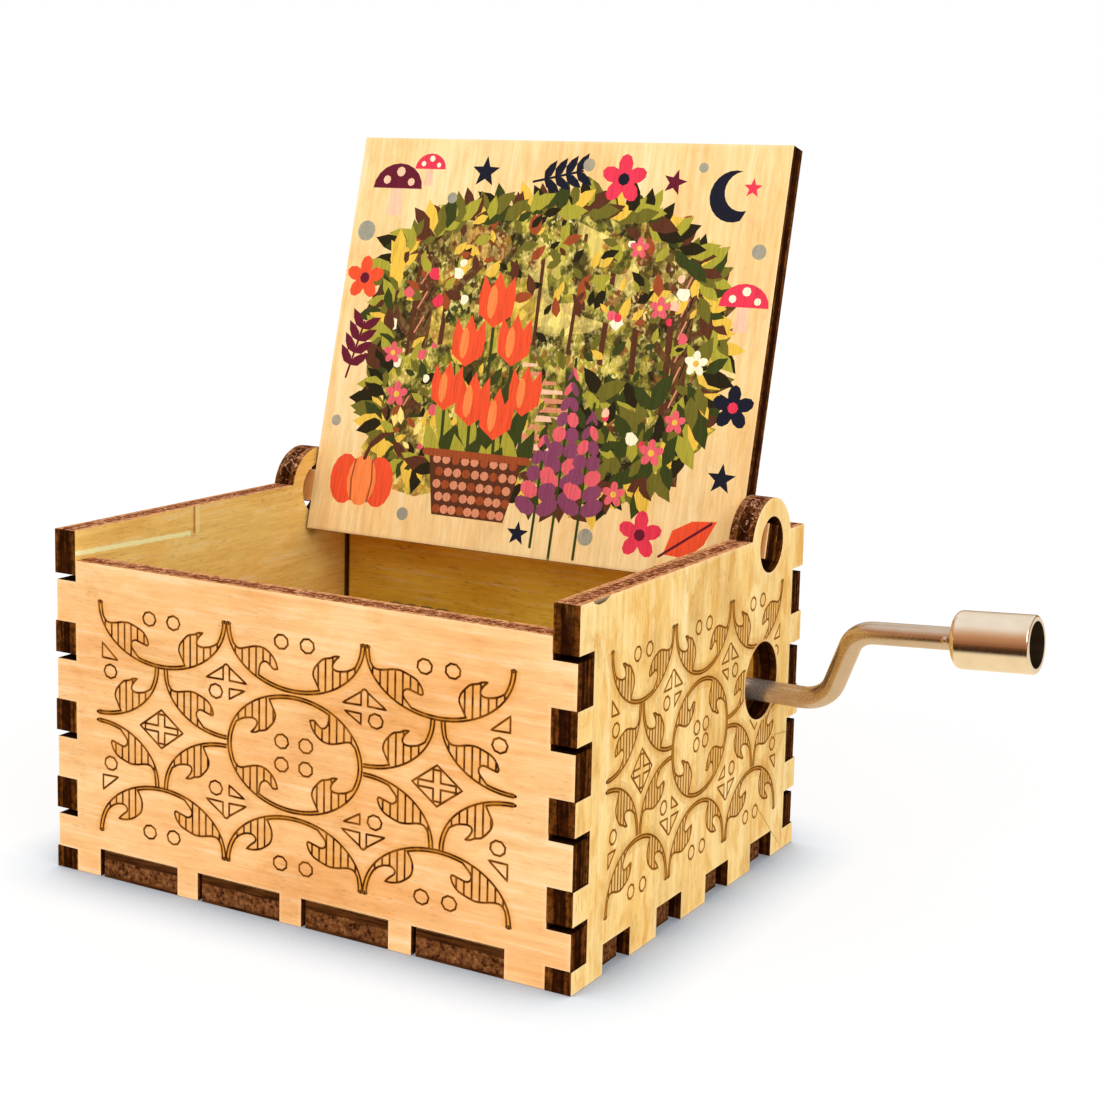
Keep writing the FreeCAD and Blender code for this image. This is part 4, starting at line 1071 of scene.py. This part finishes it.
class Panel:
    """A carved and printed panel that takes a CAD panel's place. It is drawn on the plane of two
    directions, across and up, and its heights go outward."""

    def __init__(self, node, across, outward):
        self.node, self.across, self.outward = node, across, outward
        self.up = outward.cross(across)
        mesh = NODES[node].data
        heights = [v.co.dot(outward) / MM for v in mesh.vertices]
        self.outer, self.inner = max(heights), min(heights)
        self.ply = self.outer - self.inner
        sizes = [abs(c) for c in outward]
        self.axis = sizes.index(max(sizes))      # which the ply is stacked along, once stood upright
        self.middle = (1 if outward[self.axis] > 0 else -1) * (self.outer + self.inner) / 2
        self.loops = self.outlines(mesh)
        self.vertices, self.scorch, self.edge_highlight = [], [], []
        self.faces, self.kinds, self.inks = [], [], []

    def outlines(self, mesh):
        """Closed outlines of the outer face: the outside one first, anticlockwise; holes clockwise."""
        uses = set()
        for polygon in mesh.polygons:
            level = polygon.center.dot(self.outward) / MM
            if polygon.normal.dot(self.outward) < 0.99 or abs(level - self.outer) > 0.01:
                continue
            corners = [mesh.vertices[i].co for i in polygon.vertices]
            keys = [(self.micron(c, self.across), self.micron(c, self.up)) for c in corners]
            uses.update(zip(keys, keys[1:] + keys[:1]))
        border = {a: b for a, b in uses if (b, a) not in uses}
        found = [[(u / 1000, v / 1000) for u, v in loop] for loop in chains(border)]
        return sorted(found, key=area, reverse=True)

    def micron(self, point, direction):
        return round(point.dot(direction) / MM * 1000)

    def point(self, spot, height, scorch, edge_highlight):
        place = self.across * spot[0] + self.up * spot[1] + self.outward * height
        self.vertices.append(place * MM)
        self.scorch.append(scorch)
        self.edge_highlight.append(edge_highlight)
        return len(self.vertices) - 1

    def polygon(self, ids, kind, ink=(BARE, 0.0)):
        self.faces.append(ids)
        self.kinds.append(kind)
        self.inks.append(ink)

    def front(self, art):
        """The outer face, with a groove along each scored line. Returns its border."""
        lines = kept_out([even(line) for line in art.lines], self.loops[1:])
        drawing = Drawing()
        for loop in self.loops:
            drawing.add_face(loop)
        for loop, ink, leafy in art.patches:
            drawing.add(loop)
        for loop in self.loops:
            drawing.add(offset_line(loop, CHAMFER, True))
            drawing.add(offset_line(loop, HIGHLIGHT_BAND, True))
        for line in lines:
            drawing.add_open(line)
            drawing.add(around(line, LINE))
            drawing.add(around(line, LINE + HALO))
        points, triangles, inside, source = drawing.triangulate()
        cuts = trace_tree([loop + loop[:1] for loop in self.loops])
        scores = trace_tree(lines) if lines else None
        holes = set(range(1, len(self.loops)))
        kept = [t for t, within in zip(triangles, inside) if 0 in within and not holes & set(within)]
        number = {}
        for triangle, top in zip(kept, topmost(art.patches, points, kept)):
            for k in triangle:
                if k not in number:
                    number[k] = self.front_point(points[k], cuts, scores)
            ink = art.patches[top][1:] if top >= 0 else (BARE, 0.0)
            self.polygon([number[k] for k in triangle], FRONT, ink)
        uses = {(a, b) for t in self.faces for a, b in zip(t, t[1:] + t[:1])}
        flat = {number[k]: tuple(points[k]) for k in number}
        return {a: b for a, b in sorted(uses) if (b, a) not in uses}, flat

    def front_point(self, point, cuts, scores):
        spot = (point[0], point[1], 0)
        to_cut = cuts.find(spot)[2]
        sunk = CHAMFER - to_cut if to_cut < CHAMFER * 0.9 else 0.0
        burn = 0.0
        if scores:
            away = scores.find(spot)[2]
            sunk = max(sunk, GROOVE * (1 - away / LINE))
            burn = min(1.0, max(0.0, 1 - (away - LINE) / HALO))
        return self.point(point, self.outer - sunk, burn, max(0.0, 1 - to_cut / HIGHLIGHT_BAND))

    def sides_and_rear(self, border, flat):
        """Cut edges straight back from the border, and the rear face between them."""
        behind = {a: self.point(flat[a], self.inner, 0.0, 1.0) for a in sorted(border)}
        for a, b in border.items():
            self.polygon([b, a, behind[a], behind[b]], CUT)
        rear, names = Drawing(), []
        for loop in chains(dict(border)):
            rear.add_face([flat[a] for a in loop])
            names += [behind[a] for a in loop]
        points, triangles, inside, source = rear.triangulate()
        areas = [abs(area([tuple(rear.points[i]) for i in loop])) for loop in rear.faces]
        outside = areas.index(max(areas))
        for triangle, within in zip(triangles, inside):
            if within == [outside]:
                self.polygon([names[source[k]] for k in reversed(triangle)], REAR)

    def piece(self, body, materials):
        name = self.node + "_carved"
        mesh = bpy.data.meshes.new(name)
        mesh.from_pydata(self.vertices, [], self.faces)
        for material in materials:
            mesh.materials.append(material)
        mesh.polygons.foreach_set("material_index", self.kinds)
        mesh.polygons.foreach_set("use_smooth", [kind == CUT for kind in self.kinds])
        corners = [ink for ids, ink in zip(self.faces, self.inks) for k in ids]
        for key, kind, domain, field, values in (
                ("scorch", "FLOAT", "POINT", "value", self.scorch),
                ("edge_highlight", "FLOAT", "POINT", "value", self.edge_highlight),
                ("ink", "FLOAT_COLOR", "CORNER", "color", [c for ink, leafy in corners for c in ink]),
                ("leafy", "FLOAT", "CORNER", "value", [leafy for ink, leafy in corners])):
            mesh.attributes.new(key, kind, domain).data.foreach_set(field, values)
        mesh.set_sharp_from_angle(angle=SHARP)
        made = in_scene(name, mesh)
        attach(made, body)
        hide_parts(self.node)


FRONT_TONES = tint(255, 207, 147), tint(248, 184, 116)
SIDE_TONES = tint(255, 224, 154), tint(246, 202, 116)
# the inside faces are warmer and more golden than the outer ones: painted bounce light inside the box
LEFT_INSIDE = tint(255, 222, 132), tint(255, 206, 110)
BACK_INSIDE = tint(255, 206, 76), tint(240, 180, 48)
LID_TONES = tint(255, 224, 164), tint(255, 210, 142)
FRONT_BURN = tint(68, 29, 0), tint(198, 122, 26)
SIDE_BURN = tint(122, 72, 4), tint(192, 126, 16)
LIT_TOP_BAND = 0.3    # a wall's top edge is pale, as painted top light, from this far below it

# the walls: across and outward directions, ornament, and look of the outer face
FRONT_LOOK = dict(tones=FRONT_TONES, grain=X, carved=FRONT_BURN, cloudy=0.36, specks=0.35)
SIDE_LOOK = dict(tones=SIDE_TONES, grain=Z, carved=SIDE_BURN, cloudy=0.75)
WALLS = (
    ("front_wall", X_AXIS, -Y_AXIS, ornament(FRONT_STYLE), FRONT_LOOK),
    ("back_wall", -X_AXIS, Y_AXIS, ornament(FRONT_STYLE), FRONT_LOOK),
    ("right_wall", Y_AXIS, X_AXIS, ornament(SIDE_STYLE, worn=True), SIDE_LOOK),
    ("left_wall", -Y_AXIS, -X_AXIS, ornament(SIDE_STYLE), SIDE_LOOK),
)


def build_walls():
    wall_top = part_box("back_wall")[1].z / MM
    for node, across, outward, art, look in WALLS:
        made = Panel(node, across, outward)
        made.sides_and_rear(*made.front(art))
        lit_top_above = min(wall_top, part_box(node)[1].z / MM) - LIT_TOP_BAND
        ends = Y if made.axis == X else X
        corner = max(abs(c[ends]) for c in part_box(node)) / MM - made.ply
        if made.axis == X:
            inside = birch(node + "_inside", LEFT_INSIDE, ends, corner_shade=(corner,), light_streaks=node == "left_wall")
        else:
            inside = birch(node + "_inside", BACK_INSIDE, ends, corner_shade=(-corner, corner))
        made.piece("box", (birch(node + "_birch", **look),
                           burnt(node + "_burnt", made, lit_top_above), inside))


def build_lid():
    lid = Panel("lid", X_AXIS, LID_OUTWARD)
    lid.sides_and_rear(*lid.front(lid_print(lid.loops)))
    lid.piece("lid", (
        birch("lid_print", LID_TONES, Z, LID_LEAN, carved=FRONT_BURN, specks=0.15),
        burnt("lid_burnt", lid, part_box("lid")[1].z / MM, LID_LEAN),
        birch("lid_back", FRONT_TONES, Z, LID_LEAN),
    ))


# ------------------------------------------------------------------ metal and plastic

def darker(colour, share):
    return tuple(c * share for c in colour[:3]) + (1.0,)


def skin(name, colour, dark, clouds, grain, rough, relief, clouding=None, **surface):
    """A surface whose colour clouds over to a dark one. Its grain varies roughness and height.
    clouds and grain are what noise() takes, rough and clouding what ramp() takes."""
    made = Shader.material(name)
    cloud, fine = made.noise(*clouds), made.noise(*grain)
    if clouding:
        cloud = made.ramp(cloud, *clouding)
    return made.finish(Base_Color=made.mix(cloud, colour, dark), Roughness=made.ramp(fine, *rough),
                       Normal=made.bump(fine, *relief), **surface)


def nickel(name, rough, bright, dull, dim_to=0.0, dim_fades=8.0):
    """Nickel plate with faint wear, tarnished up to a place along X in millimetres."""
    plate = Shader.material(name)
    along = plate.math("DIVIDE", plate.minus(plate.at(X), dim_to), dim_fades, clamp=True)
    fine = plate.noise(2.2, 4, 0.6)
    return plate.finish(Base_Color=plate.mix(plate.noise(0.5, 3, 0.5), bright, dull),
                        Metallic=plate.ramp(along, (0.0, 0.75), (1.0, 1.0)),
                        Roughness=plate.ramp(fine, (0.3, rough), (0.7, rough + 0.07)),
                        Normal=plate.bump(fine, 0.06, 0.02))


def steel(name, colour, rough, grain=(0.4, 6.0, 6.0)):
    """Ground or turned metal; the grain is the noise's scale along each axis."""
    return skin(name, colour, darker(colour, 0.72), (0.25, 3, 0.6), (grain, 4, 0.6),
                ((0.25, rough), (0.75, rough + 0.16)), (0.3, 0.02), ((0.4, 0.0), (0.75, 0.8)),
                Metallic=1.0)


def cast(name, colour, metallic):
    """Matt casting with a fine grainy skin."""
    return skin(name, colour, darker(colour, 0.7), (0.18, 3, 0.5), (5, 4, 0.7),
                ((0.3, 0.42), (0.7, 0.6)), (0.35, 0.05), ((0.3, 0.0), (0.8, 1.0)), Metallic=metallic)


def plastic(name, colour):
    """Moulded plastic with a soft sheen and slight mottling."""
    return skin(name, colour, darker(colour, 0.88), (0.4, 3, 0.5), (6, 3, 0.5),
                ((0.3, 0.32), (0.7, 0.42)), (0.12, 0.03), Subsurface_Weight=0.08)


def dress_nodes():
    """Materials for the CAD nodes that show as they are."""
    low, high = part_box("bottom_board")
    board_middle, board_ply = (low[2] + high[2]) / 2 / MM, (high[2] - low[2]) / MM
    wall_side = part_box("right_wall")[1].x / MM
    finishes = {
        "bottom_board": floor_board("board_birch", board_middle, board_ply),
        "crank_rod": nickel("nickel_rod", 0.22, tint(212, 194, 180), tint(192, 172, 154), wall_side),
        "crank_knob": nickel("nickel_knob", 0.12, tint(244, 233, 218), tint(226, 211, 192)),
        "movement_base": cast("zinc_casting", tint(168, 170, 174), 0.85),
        "base_screws": steel("zinc_screws", tint(196, 190, 160), 0.28),
        "comb": steel("comb_steel", tint(188, 190, 194), 0.22, (0.3, 7.0, 7.0)),
        "comb_weights": cast("lead", tint(104, 106, 112), 0.7),
        "comb_screws": steel("bright_screws", tint(206, 206, 210), 0.2),
        "arbor": steel("ground_arbor", tint(190, 190, 194), 0.2, (7.0, 0.4, 7.0)),
        "cylinder_drum": steel("drum_brass", tint(216, 178, 104), 0.24, (3.0, 7.0, 3.0)),
        "front_cap": plastic("cap_plastic", tint(228, 226, 216)),
        "worm_wheel": plastic("wheel_plastic", tint(228, 226, 216)),
        "tune_pins": steel("pin_steel", tint(204, 204, 208), 0.25),
        "worm": steel("worm_steel", tint(170, 170, 174), 0.26, (6.0, 2.0, 2.0)),
        "drive_shaft": steel("shaft_steel", tint(190, 190, 194), 0.2, (6.0, 0.6, 0.6)),
        "retaining_clip": steel("clip_steel", tint(84, 84, 90), 0.34),
    }
    for node, material in finishes.items():
        for place in NODES[node].material_slots:
            place.material = material


# ------------------------------------------------------------------ studio

# camera fitted to the finger joints' corners
AZIMUTH, ELEVATION, ROLL = radians(29.659), radians(7.924), radians(1.363)
STAND = Vector((0.11775, -0.183097, 0.077234))
SENSOR, LENS = 36.0, 65.995
SHIFT_UP = -0.1
NEAREST = 0.01

FLOOR_SIZE = 3.0
FLOOR_DROP = 0.02 * MM       # the paper lies this far under the board
FLOOR_REACH = 400            # millimetres over which its shading fades
CONTACT_REACH = 0.010        # of the contact shadow
PAPER_GLOW = 1.06
SKY = 0.82                   # the world's strength

# what lies in the room, as polished metal mirrors it, from low to high
ROOM_FRONT = ((0.0, tint(160, 108, 74)), (0.2, tint(192, 138, 100)), (0.4, tint(204, 150, 110)),
              (0.62, tint(228, 192, 164)), (0.85, tint(255, 250, 242)))
ROOM_BEHIND = ((0.0, tint(112, 78, 56)), (0.2, tint(156, 120, 94)), (0.36, tint(236, 222, 204)),
               (0.60, tint(250, 244, 232)), (0.88, tint(255, 250, 242)))
# the floor as it mirrors it, from front to back
PAPER_MIRRORED = ((0.1, tint(156, 104, 70)), (0.36, tint(96, 62, 38)), (0.455, tint(50, 30, 17)),
                  (0.475, tint(255, 236, 198)), (0.56, tint(255, 236, 198)), (0.70, tint(236, 222, 204)))
# the contact shadow, from covered to open
CONTACT = ((0.42, tint(106, 112, 120)), (0.62, tint(188, 196, 204)), (0.84, tint(233, 238, 243)),
           (1.0, 1.0))

LAMPS_AIM = (0.0, 0.0, 0.02)
LAMP_SIZE = 0.45
LAMPS = (                    # name, place, power, whether polished metal mirrors it
    ("key_lamp", (0.55, -0.35, 0.45), 2.0, True),
    ("fill_lamp", (-0.3, -0.55, 0.42), 1.15, False),
)


def studio_camera():
    back = Vector((sin(AZIMUTH) * cos(ELEVATION), -cos(AZIMUTH) * cos(ELEVATION),
                   sin(ELEVATION)))
    right = (-back).cross(Z_AXIS).normalized()
    up = right.cross(-back)
    across = right * cos(ROLL) + up * sin(ROLL)
    upward = up * cos(ROLL) - right * sin(ROLL)
    data = bpy.data.cameras.new("camera")
    data.sensor_width = SENSOR
    data.lens = LENS
    data.shift_y = SHIFT_UP
    data.clip_start = NEAREST
    camera = in_scene("camera", data)
    camera.matrix_world = Matrix((across, upward, back)).transposed().to_4x4()
    camera.location = STAND
    bpy.context.scene.camera = camera


def studio_floor():
    """White paper: it takes and bounces light, but the eye sees it white with a soft contact shadow."""
    paper = Shader.material("studio_paper")
    pale, paler = (0.86, 0.86, 0.86, 1), (0.9, 0.9, 0.9, 1)
    paper.finish(Base_Color=paper.mix(paper.noise(0.02), pale, paler), Roughness=0.9,
                 Specular_IOR_Level=0.0)
    path = paper.node("LightPath", {}).outputs
    away = paper.node("VectorMath", {0: paper.where()}, operation="LENGTH").outputs["Value"]
    away = paper.math("DIVIDE", away, FLOOR_REACH)
    behind = paper.plus(paper.math("DIVIDE", paper.at(Y), 2 * FLOOR_REACH), 0.5)
    open_sky = paper.node("AmbientOcclusion", {"Distance": CONTACT_REACH}, samples=8).outputs["AO"]
    shown = paper.mix(path["Is Glossy Ray"], paper.ramp(open_sky, *CONTACT),
                      paper.ramp(behind, *PAPER_MIRRORED))
    glow = paper.node("Emission", {"Color": shown, "Strength": PAPER_GLOW}).outputs[0]
    seen = paper.times(path["Is Camera Ray"], paper.ramp(away, (0.2, 0.72), (0.75, 1.0)))
    seen = paper.plus(seen, path["Is Glossy Ray"])
    seen = paper.plus(seen, path["Is Transmission Ray"], clamp=True)
    both = paper.node("MixShader", {0: seen, 1: paper.surface.outputs[0], 2: glow}).outputs[0]
    paper.feed(paper.tree.nodes["Material Output"].inputs["Surface"], both)
    half = FLOOR_SIZE / 2
    mesh = bpy.data.meshes.new("studio_floor")
    corners = [(-half, -half, 0), (half, -half, 0), (half, half, 0), (-half, half, 0)]
    mesh.from_pydata(corners, [], [(0, 1, 2, 3)])
    mesh.materials.append(paper.made)
    floor = in_scene("studio_floor", mesh)
    floor.location.z = -FLOOR_DROP


def studio_world():
    """White to the eye; polished metal sees a room with a dark side in front and a pale one behind."""
    world = bpy.data.worlds.new("studio_world")
    bpy.context.scene.world = world
    world.use_nodes = True
    room = Shader(world.node_tree)
    path = room.node("LightPath", {}).outputs
    heading = room.node("TexCoord", {}).outputs["Generated"]
    height = room.axis(heading, Z)
    turned = room.plus(room.times(room.axis(heading, Y), 0.5), 0.5)
    mirrored = room.mix(room.ramp(turned, (0.55, 0.0), (0.72, 1.0)), room.ramp(height, *ROOM_FRONT),
                        room.ramp(height, *ROOM_BEHIND))
    sky = world.node_tree.nodes["Background"]
    sky.inputs["Color"].default_value = (1, 1, 1, 1)
    room.feed(sky.inputs["Strength"], room.math("MAXIMUM", path["Is Camera Ray"], SKY))
    glossy = room.node("Background", {"Color": mirrored}).outputs[0]
    both = room.node("MixShader", {0: path["Is Glossy Ray"], 1: sky.outputs[0], 2: glossy}).outputs[0]
    room.feed(world.node_tree.nodes["World Output"].inputs["Surface"], both)


def studio():
    studio_camera()
    studio_floor()
    studio_world()
    for name, place, power, mirrored in LAMPS:
        data = bpy.data.lights.new(name, "AREA")
        data.size = LAMP_SIZE
        data.energy = power
        light = in_scene(name, data)
        light.location = place
        direction = Vector(LAMPS_AIM) - Vector(place)
        light.rotation_euler = direction.to_track_quat("-Z", "Y").to_euler()
        light.visible_glossy = mirrored
    bpy.context.scene.view_settings.view_transform = "Standard"


studio()
build_walls()
build_lid()
dress_nodes()
